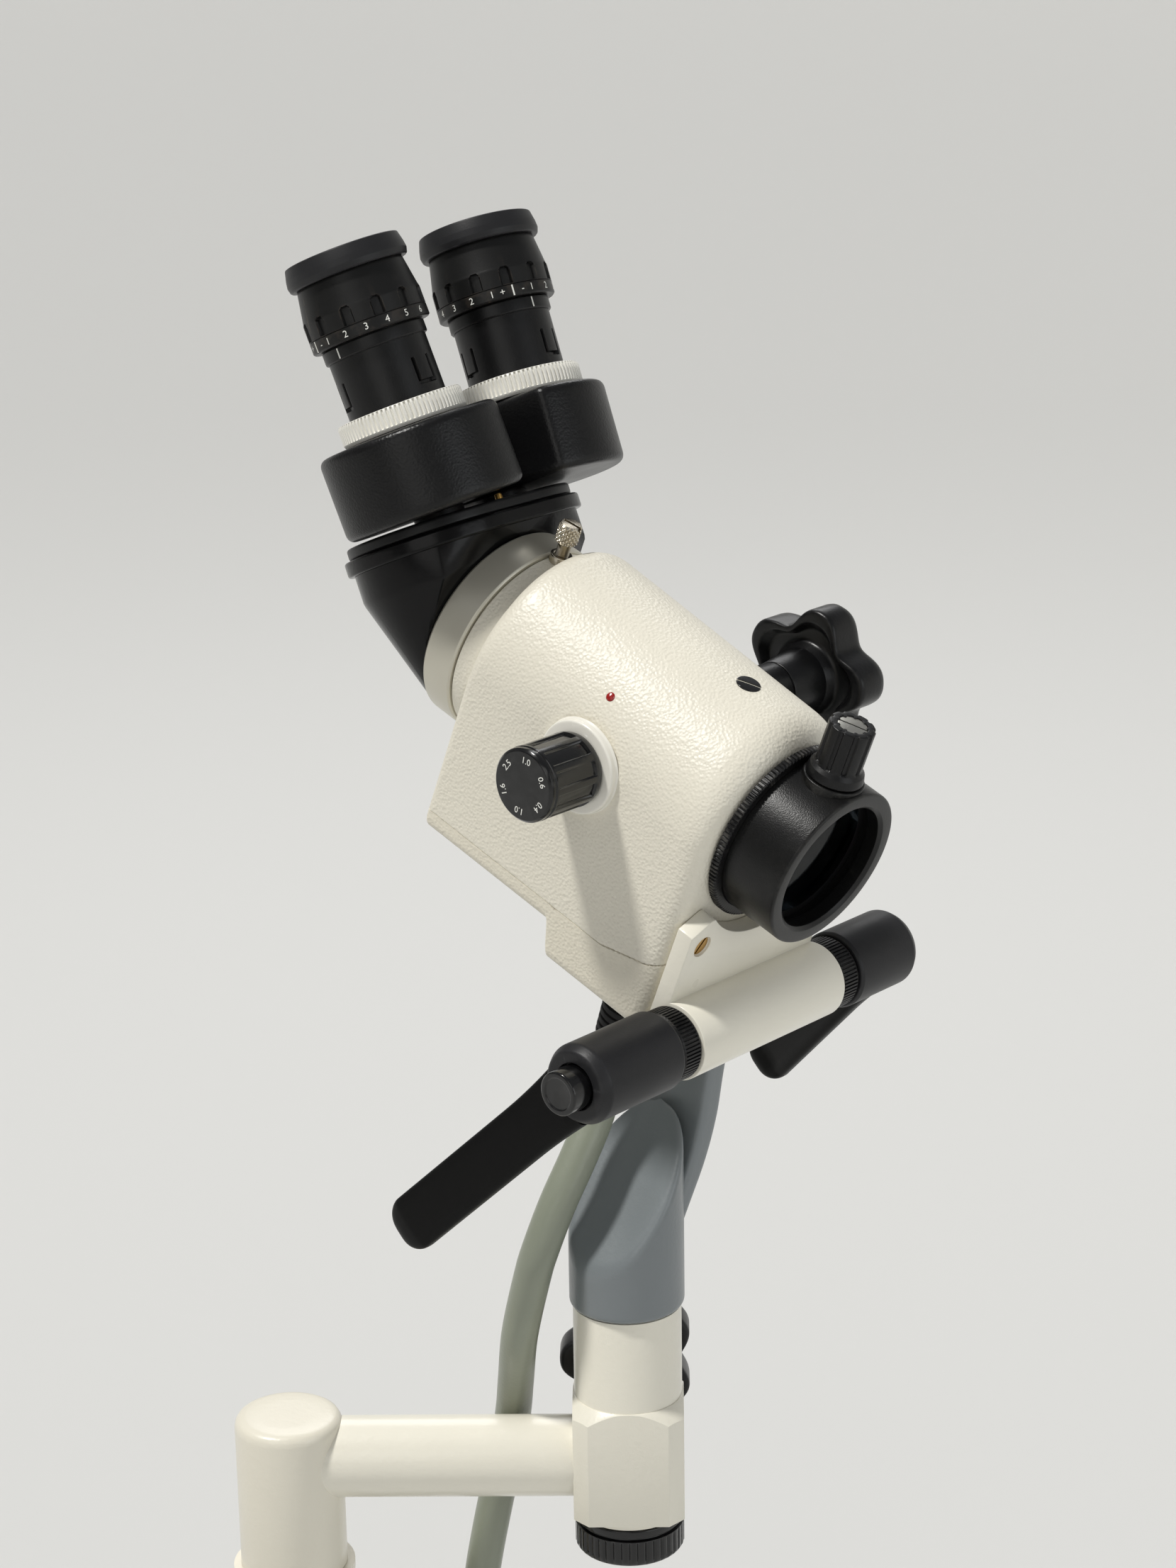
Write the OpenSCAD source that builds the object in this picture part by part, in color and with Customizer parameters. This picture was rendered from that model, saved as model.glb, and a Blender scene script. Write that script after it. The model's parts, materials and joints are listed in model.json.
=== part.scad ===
// Colposcope head on a swing arm: a binocular examination microscope with its magnification drum,
// tilting yoke, height column, T-bar handle and the light cable, from the stand post up.
// Millimetres, +Z up. The origin is the centre of the post's lower end, where the stand holds it.

/* [Post] */
// Diameter of the post and of the sleeve that turns on it
post_d = 36.4; // [32:0.2:44]
// Height of the fixed post
post_h = 126.5; // [100:0.5:180]
// Diameter of the bore in the post's lower end
post_bore_d = 25; // [20:0.5:27]
// Depth of that bore
post_bore_depth = 60; // [30:1:75]
// Height of the turning sleeve
sleeve_h = 56.2; // [50:0.2:80]
// Rounding of the sleeve's cap
cap_round = 5; // [2:0.5:8]
// Height of the lip at the seam between post and sleeve
seam_lip_h = 2.8; // [1.6:0.2:5]
// How far the lip stands out
seam_lip_out = 2.6; // [0.6:0.2:5]
// Diameter of the swing spindle
spindle_d = 20; // [16:0.5:23]

/* [Arm and carrier] */
// Distance from the post's axis to the column's axis
reach = 115.4; // [90:0.2:180]
// Diameter of the cross arm
arm_d = 27.5; // [22:0.5:32]
// Height of the cross arm's axis
arm_z = 169.3; // [165:0.1:172]
// Width of the eight-sided carrier block
block_w = 37.4; // [34:0.2:44]
// Chamfer of the block's edges
block_chamfer = 5.2; // [3:0.2:8]
// Height of the block
block_h = 41.9; // [34:0.1:50]
// Height of the turned neck above the block
neck_h = 32.9; // [26:0.1:50]
// Diameter of the turned neck
neck_d = 36.4; // [32:0.2:38]
// Diameter of the height wheel
wheel_d = 37.2; // [32:0.2:44]
// Height of the wheel
wheel_h = 13.4; // [10:0.2:20]
// Diameter of the lift shaft
shaft_d = 20; // [16:0.5:23]
// Travel of the height wheel's screw
lift_travel = 16; // [8:1:20]
// Reach of the star knobs' lobes
star_r = 25.5; // [20:0.5:28]
// Thickness of the star knobs
star_h = 15; // [10:0.5:18]

/* [Yoke] */
// Diameter of the yoke's foot
yoke_d = 38.6; // [37:0.2:44]
// Thickness of the yoke's arm
yoke_plate = 9.8; // [8:0.2:12]
// Width of the yoke's arm
yoke_w = 31.2; // [24:0.2:34]
// Height of the tilt axis
tilt_z = 422; // [410:1:440]
// Length of the clamp boss beside the tilt axis
boss_len = 30; // [24:1:40]
// Diameter of the clamp boss
boss_d = 18.6; // [16:0.2:24]
// Diameter of the tilt pin
pin_d = 16; // [12:0.5:18]
// Turn of the head about the column, seen from above
yaw = 40.5; // [0:0.5:60]
// Downward tilt of the head
pitch = 21.8; // [15:0.1:24]

/* [Head] */
// Half of the head casting's width
head_half = 36; // [34:0.2:37]
// Length of the casting behind the magnification axis
head_back = 51.5; // [48:0.5:58]
// Length of the casting before the magnification axis
head_front = 52; // [48:0.5:58]
// Wall of the casting's sides
side_wall = 4.5; // [3.5:0.1:5]
// Wall of its front and back
end_wall = 6; // [5:0.2:8]
// Depth of the seam under the optical axis
seam_depth = 50; // [46:0.5:54]
// Depth of the shallow cover
cover_shallow = 57; // [55:0.5:62]
// Depth of the deep cover
cover_deep = 69; // [66:0.5:72]
// Radius of the magnification drum
drum_r = 24; // [20:0.5:26]
// Diameter of the drum's light holes
drum_hole_d = 14; // [10:0.5:16]
// Distance of each light path from the middle
path_half = 12; // [10:0.5:13]
// Radius of the magnification knob
mag_knob_r = 11.9; // [9:0.1:13]
// Length of the magnification knob
mag_knob_len = 23.4; // [18:0.2:30]

/* [Objective] */
// Radius of the objective barrel
barrel_r = 27; // [26:0.1:29]
// Length of the barrel
barrel_len = 23.6; // [20:0.2:30]
// Radius of the front opening
front_open_r = 21.4; // [18:0.2:22]
// Radius of the focus knob's base
focus_base_r = 9.8; // [8:0.2:10]
// Travel of the focusing cell, each way
focus_travel = 2.4; // [1:0.2:2.6]

/* [Handle] */
// Radius of the handle tube
tube_r = 12.5; // [12:0.1:14]
// Half length of the handle tube
tube_half = 35; // [33:0.5:38]
// Radius of the rubber grips
grip_r = 12.8; // [11.5:0.1:14]
// Length of a grip
grip_len = 37; // [30:0.5:44]
// Length of a lever from the handle axis
lever_len = 90; // [60:1:96]
// Width of a lever
lever_w = 17; // [12:0.5:20]
// Radius of the end buttons
button_r = 7; // [5:0.2:8]
// Travel of the end buttons
button_travel = 3; // [1:0.5:4]

/* [Binocular tube] */
// Radius of the mount collar
collar_r = 33; // [31:0.2:34]
// Radius of the dovetail ring
dovetail_r = 33.8; // [32:0.2:35]
// Half distance of the eyepieces at their clamp rings
eye_half = 27.3; // [26.8:0.1:30]
// Outward slant of each eyepiece
slant = 3.2; // [2:0.1:3.4]
// Radius of a prism housing
housing_r = 30.5; // [29:0.1:31.5]
// Height of a prism housing
housing_h = 27.7; // [26:0.1:28]
// Radius of the clamp rings
clamp_r = 20.5; // [19:0.1:22]
// Radius of the eyepiece sleeves
sleeve_r = 16; // [14:0.1:16.4]
// Radius of the dioptre rings
dioptre_r = 19.4; // [18:0.1:21]
// Radius of the eyecups
eyecup_r = 19.9; // [18:0.1:22]

/* [Light cable] */
// Diameter of the cable
cable_d = 12.5; // [12:0.1:12.9]
// Distance between neighbouring loops of the coil
cable_pitch = 13.1; // [13:0.1:15]

/* [Hidden] */
$fn = 64;

// Overrun of every cut
cut = 1;
// Running clearance of a turning or sliding fit, on the radius
run = 0.05;
// Clearance between a fixed piece and its seat, on the radius
seat = 0.02;
// Gap between faces that pass each other
face_gap = 0.3;
// Colours
cream = "#ece6d3";
black = "#1d1d1f";
grey = "#7d8890";
steel = "#b9bcc0";
brass = "#c8a24a";
glass = "#9fb8c4";
rubber = "#36373a";
cable_colour = "#7f8474";

// Post, spindle and sleeve
post_r = post_d / 2;
spindle_depth = 40;
sleeve_z = post_h + seam_lip_h;
sleeve_top = sleeve_z + sleeve_h;
sleeve_roof = 9;
sleeve_bore_d = spindle_d + 8;
bush_h = 12;
spindle_top = sleeve_top - sleeve_roof - face_gap;
// Carrier block and its neck
block_z = arm_z - 17.2;
neck_z = block_z + block_h;
neck_top = neck_z + neck_h;
carrier_bore_d = shaft_d + 5;
guide_flange_h = 1.6;
guide_flange_d = neck_d;
guide_len = 14;
block_half = block_w / 2;
// Height wheel and its screw
wheel_z = block_z - guide_flange_h - face_gap - wheel_h;
wheel_groove = 1.2;
wheel_groove_drop = 3;
wheel_ribs = 40;
wheel_rib_r = 0.8;
wheel_hub_d = 16;
screw_d = 9;
screw_pitch = 4;
// Lift shaft, its nut and the yoke's journal on it
shaft_low = block_z + guide_len + 8;
nut_d = 15;
nut_h = 14;
journal_h = 16;
yoke_low = neck_top + face_gap;
journal_top = yoke_low + journal_h;
screw_top = shaft_low + nut_h + lift_travel + 12;
bush_wall = 3;
// Rear clamp knob
clamp_z = neck_z - 5;
stud_d = 8;
rear_star_r = star_r * 0.94;
hub_len = 11;
// Yoke arm outline: heights over the foot, and how far its outer face stands out
yoke_r = yoke_d / 2;
cut_low = 18;
cut_rise = 50;
arm_outer_l = head_half + 2.2 + yoke_plate;
arm_step_share = [0.2, 0.42, 0.57, 0.68];
arm_z_share = [0.24, 0.42, 0.6, 0.82];
arm_root_z = yoke_low + 15;
arm_full_z = tilt_z - 72;
tilt_pad = 2;
yoke_gap = 0.2;
boss_end = arm_outer_l + boss_len;
tilt_hub_len = 15;
// Head: place of the tilt axis in it, and the fall of its roof
pivot_back = 12.5;
pivot_drop = 9.9;
roof_rise = 5;
roof_fall = atan(roof_rise / (head_back + head_front * 0.77));
front_round = 6;
cover_wall = 3;
step_o = 8.5;
step_round = 3;
seam_flat_o = 28;
seam_share = [[0.33, 0.28], [0.75, 0.59], [1, 1]];
seam_rise = 8;
drum_half = 21.5;
journal_r = 4;
shoulder_r = 5;
drum_bush_r = 6;
white_boss_r = 15;
white_boss_h = 2.4;
lens_t = 3;
lens_seat = 19;
pin_flange_r = 10.5;
pin_flange_h = 2;
plug_o = 25.6;
plug_r = 4;
plug_h = 3.6;
// Objective
objective_bore_r = 24;
barrel_bore_r = 23.5;
knurl_r = 30.3;
knurl_h = 2.9;
front_lip_len = 5.4;
cell_len = 13;
cell_wall = 2.6;
lens_r = 20.8;
lens_centre_t = 6;
focus_o = head_front + 12.8;
focus_base_top = barrel_r + 1;
focus_knob_h = 18.4;
focus_skirt_h = 4;
focus_spindle_r = 3;
// Handle bracket
handle_o = 64;
handle_u = -63;
bracket_t = 6;
bracket_top = -27.3;
bracket_crest = -23;
bracket_crest_l = tube_half - 8;
scallop_r = 34.3;
bracket_low = -60;
bracket_hole_l = tube_half - 7.3;
bracket_hole_u = -32.8;
screw_shank_r = 2;
screw_head_r = 3.6;
screw_head_h = 2.6;
rod_r = 8;
rod_half = 62;
left_shorter = 6;
left_button_out = 0.8;
hand_collar_r = 11.8;
hand_collar_len = 8.8;
grip_start = tube_half + hand_collar_len + face_gap;
grip_end = grip_start + grip_len;
grip_round = 4;
button_out = 7.5;
button_socket = 9;
lever_share = [-0.4, -0.915];
lever_root = 72;
lever_flare = 16.5;
lever_t = 8;
// Mount collar, dovetail ring and thumbscrew
collar_len = 7.8;
neck_in_r = 24;
tube_bore_r = 20;
dovetail_len = 12.5;
dovetail_neck_len = 6;
thumb_o = -55.6;
thumb_boss_r = 3.6;
thumb_boss_top = 36.6;
thumb_r = 2.3;
thumb_head_r = 3.8;
thumb_head_h = 8.4;
notch_w = 6;
notch_l = -11;
notch_depth = 3;
// Prism box and base plate, in the frame of the slanted tube
plate_o = -87;
plate_u = 36.7;
tube_angle = 45;
plate_t = 4;
plate_r = 29;
plate_half = 12;
plate_x = -18;
flange_step = 2;
flange_t = 5;
box_depth = 24;
duct_half = 21;
duct_low = 8.2;
duct_high = 9;
duct_end_o = -97;
hinge_x = -11;
hinge_l = 14.5;
hinge_r = 8.4;
hinge_bore_r = 6.4;
hinge_h = 4.4;
prism_w = 15;
// Eyepieces, heights over the clamp ring's foot
ring_e = 31;
housing_top = -1.7;
housing_wall = 2.5;
housing_x = -2.3;
housing_in = 3.2;
facet_x = 24.9;
facet_in = 17.3;
facet_angle = 8.75;
clamp_h = 6;
sleeve_top_h = 24.9;
index_h = 4.2;
index_r = 16.9;
band_h = 4.3;
eyecup_low_h = 49.8;
eyecup_top_h = 57.6;
eyecup_neck_r = 17.5;
eye_bore_r = 13;
recess_w = 3.4;
recess_depth = 1.2;
// Cable: centre line from the gland to the coil, chosen by hand
cable_route = [[113.16, 1.94, 321.66], [109.75, 4.8, 310.6], [106.2, 3.5, 294], [100, -3.5, 280.5],
               [93.2, -9.5, 267], [87.4, -12, 252], [84.4, -9.5, 241], [79.4, -1, 216],
               [77.2, 11, 194], [75.4, 21, 175], [72.4, 25.5, 156], [68.4, 27, 138],
               [63.4, 27, 112], [61, 27, 92], [60, 27, 70], [60, 27, 45], [60, 27, 32]];
coil_x = -11.5;
coil_z = 19.5;
coil_r = 71.5;
coil_y = 27;
coil_turns = 3.75;
rings_per_turn = 24;
gland_o = 22;
guide_foot_r = 6;
guide_foot_h = 8;
guide_r = 4;
gland_nut_r = 10.5;
gland_nut_h = 8;
gland_thread_r = 8;
boot_end_u = -104;
boot_r = 7.4;
split_tilt_r = 118;
split_z = 222;
strap_t = 1.5;
strap_w = 10;
strap_band_h = 14;
plug_grip_len = 30;
plug_grip_r = 7;
plug_tip_len = 14;
plug_tip_r = 4.5;

// Frames

module at_column() {
    translate([reach, 0, 0]) children();
}

// Yoke frame: x points where the head looks, y across it, away from the clamp side's other hand
module at_yoke() {
    at_column() rotate([0, 0, -yaw]) children();
}

// Head frame: origin where the optical axis crosses the drum axis, x forward, z up
module at_head() {
    at_yoke() translate([0, 0, tilt_z]) rotate([0, pitch, 0])
        translate([pivot_back, 0, pivot_drop]) children();
}

// Slanted tube frame: origin in the top of the base plate, z towards the eyes
module at_tube() {
    at_head() translate([plate_o, 0, plate_u]) rotate([0, -tube_angle, 0]) children();
}

// Eyepiece frame: origin at the foot of the clamp ring
module at_eye(side) {
    at_tube() translate([0, side * eye_half, ring_e]) rotate([-side * slant, 0, 0]) children();
}

module at_handle() {
    at_head() translate([handle_o, 0, handle_u]) children();
}

// A cylinder along y, from y0 to y1
module along_y(r, y0, y1, r2) {
    translate([0, y0, 0]) rotate([-90, 0, 0])
        cylinder(r1 = r, r2 = is_undef(r2) ? r : r2, h = y1 - y0);
}

// A cylinder along x, from x0 to x1
module along_x(r, x0, x1, r2) {
    translate([x0, 0, 0]) rotate([0, 90, 0])
        cylinder(r1 = r, r2 = is_undef(r2) ? r : r2, h = x1 - x0);
}

module ring(r_out, r_in, h) {
    difference() {
        cylinder(r = r_out, h = h);
        translate([0, 0, -cut]) cylinder(r = r_in, h = h + 2 * cut);
    }
}

// Outline of a grooved or fluted round
module fluted(r, count, flute_r, flute_in) {
    difference() {
        circle(r = r);
        for (i = [0 : count - 1])
            rotate([0, 0, i * 360 / count]) translate([r + flute_r - flute_in, 0])
                circle(r = flute_r, $fn = 24);
    }
}

// Star knob along z: hub below, five lobes above, and its threaded stud downwards
module star_knob(r, hub_r, hub_top_r, hub, stud) {
    lobe_r = r / 3;
    cylinder(r1 = hub_r, r2 = hub_top_r, h = hub);
    translate([0, 0, hub]) linear_extrude(star_h) {
        circle(r = r * 0.72);
        for (i = [0 : 4])
            rotate([0, 0, i * 72]) translate([r - lobe_r, 0]) circle(r = lobe_r);
    }
    translate([0, 0, -stud]) cylinder(d = stud_d, h = stud);
}

// Post and spindle

module post_tube() {
    color(cream) difference() {
        union() {
            cylinder(r = post_r, h = post_h);
            translate([0, 0, post_h]) cylinder(r = post_r + seam_lip_out, h = seam_lip_h);
        }
        translate([0, 0, -cut]) cylinder(d = post_bore_d, h = post_bore_depth + cut);
        translate([0, 0, sleeve_z - spindle_depth])
            cylinder(r = spindle_d / 2 + seat, h = spindle_depth + cut);
    }
}

module swing_spindle() {
    color(steel) translate([0, 0, sleeve_z - spindle_depth])
        cylinder(d = spindle_d, h = spindle_top - sleeve_z + spindle_depth);
}

module post_sleeve() {
    r = post_r;
    z0 = sleeve_z + face_gap / 2;
    color(cream) difference() {
        union() {
            translate([0, 0, z0]) cylinder(r = r, h = sleeve_top - cap_round - z0);
            translate([0, 0, sleeve_top - cap_round]) cylinder(r = r - cap_round, h = cap_round);
            translate([0, 0, sleeve_top - cap_round]) rotate_extrude() intersection() {
                translate([r - cap_round, 0]) circle(r = cap_round);
                square([r, cap_round]);
            }
        }
        translate([0, 0, z0 - cut])
            cylinder(d = sleeve_bore_d, h = sleeve_top - sleeve_roof - z0 + cut);
    }
}

// Two bushes on the spindle and two that guide the lift shaft; the lower one has a wide flange
module arm_bushes() {
    color(brass) {
        for (z = [sleeve_z + face_gap, sleeve_top - sleeve_roof - bush_h])
            translate([0, 0, z]) ring(sleeve_bore_d / 2 - seat, spindle_d / 2 + run, bush_h);
        at_column() {
            translate([0, 0, neck_top - guide_len])
                ring(carrier_bore_d / 2 - seat, shaft_d / 2 + run, guide_len);
            translate([0, 0, block_z])
                ring(carrier_bore_d / 2 - seat, screw_d / 2 + face_gap, guide_len);
            translate([0, 0, block_z - guide_flange_h])
                ring(guide_flange_d / 2, screw_d / 2 + face_gap, guide_flange_h);
        }
    }
}

module cross_arm() {
    color(cream) translate([0, 0, arm_z]) difference() {
        along_x(arm_d / 2, 0, reach - block_half);
        translate([0, 0, -arm_d]) cylinder(r = post_r + seat, h = 2 * arm_d);
    }
}

module block_outline() {
    intersection() {
        square(block_w, center = true);
        rotate([0, 0, 45]) square((block_w - block_chamfer) * sqrt(2), center = true);
    }
}

module carrier() {
    color(cream) at_column() difference() {
        union() {
            translate([0, 0, block_z]) intersection() {
                linear_extrude(block_h) block_outline();
                cylinder(r1 = block_half + block_h, r2 = block_half, h = block_h);
            }
            translate([0, 0, neck_z - block_chamfer])
                cylinder(d = neck_d, h = neck_h + block_chamfer);
        }
        translate([0, 0, block_z - cut])
            cylinder(d = carrier_bore_d, h = block_h + neck_h + 2 * cut);
        translate([0, 0, clamp_z]) along_y(stud_d / 2 + run, 0, block_w);
    }
}

module height_wheel() {
    color(black) at_column() translate([0, 0, wheel_z]) difference() {
        linear_extrude(wheel_h) fluted(wheel_d / 2, wheel_ribs, wheel_rib_r, wheel_groove / 2);
        translate([0, 0, wheel_h - wheel_groove_drop])
            ring(wheel_d, wheel_d / 2 - wheel_groove, wheel_groove);
        translate([0, 0, -cut]) cylinder(d = screw_d, h = wheel_h + 2 * cut);
    }
}

module lift_screw() {
    color(steel) at_column() translate([0, 0, wheel_z]) cylinder(d = screw_d, h = screw_top - wheel_z);
}

module clamp_knob() {
    stud_in = block_half - shaft_d / 2 - face_gap;
    color(black) at_column() translate([0, block_half + face_gap, clamp_z]) rotate([-90, 0, 0])
        rotate([0, 0, 36])
        star_knob(rear_star_r, rear_star_r * 0.4, rear_star_r * 0.46, hub_len, stud_in);
}

module lift_shaft() {
    color(steel) at_column() difference() {
        translate([0, 0, shaft_low]) cylinder(d = shaft_d, h = journal_top - shaft_low);
        translate([0, 0, shaft_low - cut]) cylinder(d = nut_d, h = nut_h + cut);
        translate([0, 0, shaft_low]) cylinder(r = screw_d / 2 + face_gap, h = screw_top - shaft_low + cut);
    }
}

module lift_nut() {
    color(brass) at_column() translate([0, 0, shaft_low])
        ring(nut_d / 2 - seat, screw_d / 2 + run, nut_h - seat);
}

// Yoke

function yoke_arm_outer() =
    [for (i = [0 : len(arm_step_share) - 1])
        [yoke_r * 0.4 + (arm_outer_l - yoke_r * 0.4) * arm_step_share[i],
         arm_root_z + (arm_full_z - arm_root_z) * arm_z_share[i] * 0.72]];

module yoke_outline() {
    outer = yoke_arm_outer();
    inner = [for (i = [len(outer) - 1 : -1 : 0]) [outer[i][0] - yoke_plate, outer[i][1]]];
    polygon(concat([[yoke_r * 0.2, arm_root_z]], outer,
                   [[arm_outer_l, arm_full_z], [arm_outer_l, tilt_z],
                    [arm_outer_l - yoke_plate, tilt_z], [arm_outer_l - yoke_plate, arm_full_z]],
                   inner, [[-yoke_r * 0.2, arm_root_z]]));
}

module yoke() {
    slope = atan(cut_rise / (2 * yoke_r));
    color(grey) at_yoke() difference() {
        union() {
            difference() {
                translate([0, 0, yoke_low]) cylinder(r = yoke_r, h = cut_low + cut_rise);
                translate([0, -yoke_r, yoke_low + cut_low]) rotate([slope, 0, 0])
                    translate([-yoke_d, -yoke_d, 0]) cube([2 * yoke_d, 4 * yoke_d, 2 * yoke_d]);
            }
            translate([-yoke_w / 2, 0, 0]) rotate([90, 0, 90])
                linear_extrude(yoke_w) yoke_outline();
            translate([0, 0, tilt_z]) {
                along_y(yoke_w / 2, arm_outer_l - yoke_plate, arm_outer_l);
                along_y(boss_d / 2, arm_outer_l - cut, boss_end);
            }
        }
        translate([0, 0, yoke_low - cut])
            cylinder(r = shaft_d / 2 + bush_wall, h = journal_h + bush_wall + cut);
        translate([0, 0, tilt_z]) {
            along_y(pin_d / 2 + run, arm_outer_l - yoke_plate - cut, arm_outer_l);
            along_y(stud_d / 2 + run, arm_outer_l - cut, boss_end + cut);
        }
    }
}

module yoke_bush() {
    color(brass) at_yoke() translate([0, 0, yoke_low])
        ring(shaft_d / 2 + bush_wall - seat, shaft_d / 2 + run, journal_h);
}

module tilt_knob() {
    color(black) at_yoke() translate([0, boss_end + face_gap, tilt_z]) rotate([-90, 0, 0])
        rotate([0, 0, pitch - 22])
        star_knob(star_r, boss_d / 2, boss_d * 0.6, tilt_hub_len, boss_len - 1);
}

// Head

// Outline across the head: straight sides and a round roof
module arch(half) {
    circle(r = half);
    translate([-half, -2 * cover_deep]) square([2 * half, 2 * cover_deep]);
}

// Plan of the head with its rounded front corners
module plan(half, back, front) {
    r = front_round;
    translate([-back, -half]) square([back + front - r, 2 * half]);
    translate([-back, -half + r]) square([back + front, 2 * (half - r)]);
    for (s = [-1, 1]) translate([front - r, s * (half - r)]) circle(r = r);
}

// The space inside the head's side walls, roof and ends, each moved in by its own wall
module head_space(side_in, end_in) {
    intersection() {
        translate([-head_back, 0, roof_rise]) rotate([0, roof_fall, 0])
            translate([-head_back / 2, 0, 0]) rotate([90, 0, 90])
                linear_extrude(2 * (head_back + head_front)) arch(head_half - side_in);
        translate([0, 0, -2 * cover_deep])
            linear_extrude(4 * cover_deep)
                plan(head_half - side_in, head_back - end_in, head_front - end_in);
    }
}

// Seam between casting and cover, from back to front
function seam_line() =
    concat([[-head_back - cut, -seam_depth], [seam_flat_o, -seam_depth]],
           [for (s = seam_share)
               [seam_flat_o + (head_front - seam_flat_o) * s[0], -seam_depth + seam_rise * s[1]]],
           [[head_front + cut, -seam_depth + seam_rise]]);

module side_extrude() {
    rotate([90, 0, 0]) translate([0, 0, -2 * head_half]) linear_extrude(4 * head_half) children();
}

module above_seam(gap) {
    top = 2 * head_half;
    side_extrude() translate([0, gap])
        polygon(concat(seam_line(), [[head_front + cut, top], [-head_back - cut, top]]));
}

module head_casting() {
    tilt_boss_r = pin_d / 2 + 5;
    color(cream) at_head() difference() {
        union() {
            intersection() {
                difference() {
                    head_space(0, 0);
                    head_space(side_wall, end_wall);
                }
                above_seam(0);
            }
            translate([-pivot_back, 0, -pivot_drop])
                along_y(tilt_boss_r, head_half - side_wall, head_half + tilt_pad);
        }
        along_x(objective_bore_r, head_front - end_wall - cut, head_front + cut);
        along_x(tube_bore_r, -head_back - cut, -head_back + end_wall + cut);
        along_y(drum_bush_r, -head_half - cut, -head_half + side_wall + cut);
        along_y(drum_bush_r, head_half - side_wall - cut, head_half + tilt_pad + cut);
        translate([-pivot_back, 0, -pivot_drop])
            along_y(pin_d / 2 + seat, head_half - side_wall - cut, head_half + tilt_pad + cut);
        translate([plug_o, 0, plug_seat()]) cylinder(r = plug_r + seat, h = head_half);
        for (s = [-1, 1]) translate([0, s * bracket_hole_l, bracket_hole_u])
            along_x(screw_shank_r, head_front - end_wall - cut, head_front + cut);
    }
}

// Height of the seat of the slotted plug under the roof
function plug_seat() =
    roof_rise - (plug_o + head_back) * tan(roof_fall) + head_half - plug_h;

module bottom_cover() {
    color(cream) at_head() difference() {
        intersection() {
            head_space(0, 0);
            side_extrude() polygon(cover_outline(0));
        }
        intersection() {
            head_space(side_wall, end_wall);
            side_extrude() polygon(cover_outline(cover_wall));
        }
        translate([gland_o, 0, -cover_deep - cut])
            cylinder(r = gland_thread_r + seat, h = cover_wall + 2 * cut);
    }
}

// Side outline of the cover; the inner one is moved in by its wall and open at the seam
function cover_outline(w) =
    concat([for (p = seam_line()) [p[0], p[1] - face_gap / 3 + w]],
           [[head_front + cut, -cover_deep + step_round + w],
            [head_front - step_round, -cover_deep + w],
            [step_o + step_round + w, -cover_deep + w],
            [step_o + w, -cover_deep + step_round + w],
            [step_o + w, -cover_shallow - step_round + w],
            [step_o - step_round + w, -cover_shallow + w],
            [-head_back - cut, -cover_shallow + w]]);

// The white boss behind the magnification knob with its bush, and the bush across from it
module drum_bushes() {
    color(cream) at_head() difference() {
        union() {
            along_y(drum_bush_r - seat, -head_half, -head_half + side_wall);
            along_y(white_boss_r, -head_half - white_boss_h, -head_half);
            along_y(drum_bush_r - seat, head_half - side_wall, head_half + tilt_pad);
        }
        along_y(journal_r + run, -head_half - white_boss_h - cut, head_half - cut);
    }
}

module tilt_pin() {
    pin_end = arm_outer_l - 1;
    color(steel) at_head() translate([-pivot_back, 0, -pivot_drop]) {
        along_y(pin_d / 2, head_half - side_wall, pin_end);
        along_y(pin_flange_r, head_half - side_wall - pin_flange_h, head_half - side_wall);
    }
}

module lens_drum() {
    color(steel) at_head() {
        difference() {
            along_y(drum_r, -drum_half, drum_half);
            for (a = [0, 60, 120], s = [-1, 1])
                rotate([0, a, 0]) translate([0, s * path_half, 0])
                    along_x(drum_hole_d / 2, -drum_r - cut, drum_r + cut);
        }
        for (s = [0, 1]) mirror([0, s, 0]) along_y(shoulder_r, -head_half + side_wall + face_gap, -drum_half);
        along_y(journal_r, -head_half - white_boss_h - mag_knob_len * 0.6, -drum_half);
        along_y(journal_r, drum_half, head_half - cut - face_gap);
    }
}

// Two telescopes a side, each with a thick and a thin lens
module drum_lenses() {
    color(glass) at_head() for (a = [60, 120], s = [-1, 1]) rotate([0, a, 0])
        translate([0, s * path_half, 0]) {
            along_x(drum_hole_d / 2 - seat, lens_seat, lens_seat + lens_t);
            along_x(drum_hole_d / 2 - seat, -lens_seat - lens_t / 2, -lens_seat);
        }
}

module magnification_knob() {
    y1 = -head_half - white_boss_h - face_gap;
    color(black) at_head() difference() {
        translate([0, y1, 0]) rotate([90, 0, 0])
            linear_extrude(mag_knob_len) fluted(mag_knob_r, 10, 2, 0.8);
        along_y(journal_r + seat, y1 - mag_knob_len * 0.6 - cut / 2, y1 + cut);
    }
}

module head_screws() {
    color(brass) at_head() {
        for (s = [-1, 1]) translate([0, s * bracket_hole_l, bracket_hole_u]) {
            along_x(screw_shank_r - seat, head_front - end_wall, head_front + bracket_t - screw_head_h);
            along_x(screw_shank_r - seat, head_front + bracket_t - screw_head_h,
                    head_front + bracket_t - screw_head_h / 3, screw_head_r - seat);
        }
        translate([plug_o, 0, plug_seat()]) cylinder(r = plug_r, h = plug_h - face_gap * 2);
    }
}

// Objective

module objective_barrel() {
    x0 = head_front + seat;
    x1 = head_front + barrel_len;
    color(black) at_head() difference() {
        union() {
            along_x(barrel_r, x0, x1);
            translate([focus_o, 0, 0]) cylinder(r = focus_base_r, h = focus_base_top);
        }
        along_x(barrel_bore_r, x0 - cut, x1 - front_lip_len);
        along_x(front_open_r, x0, x1 + cut);
        translate([focus_o, 0, 0]) cylinder(r = focus_spindle_r + run, h = focus_base_top + cut);
    }
}

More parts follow.
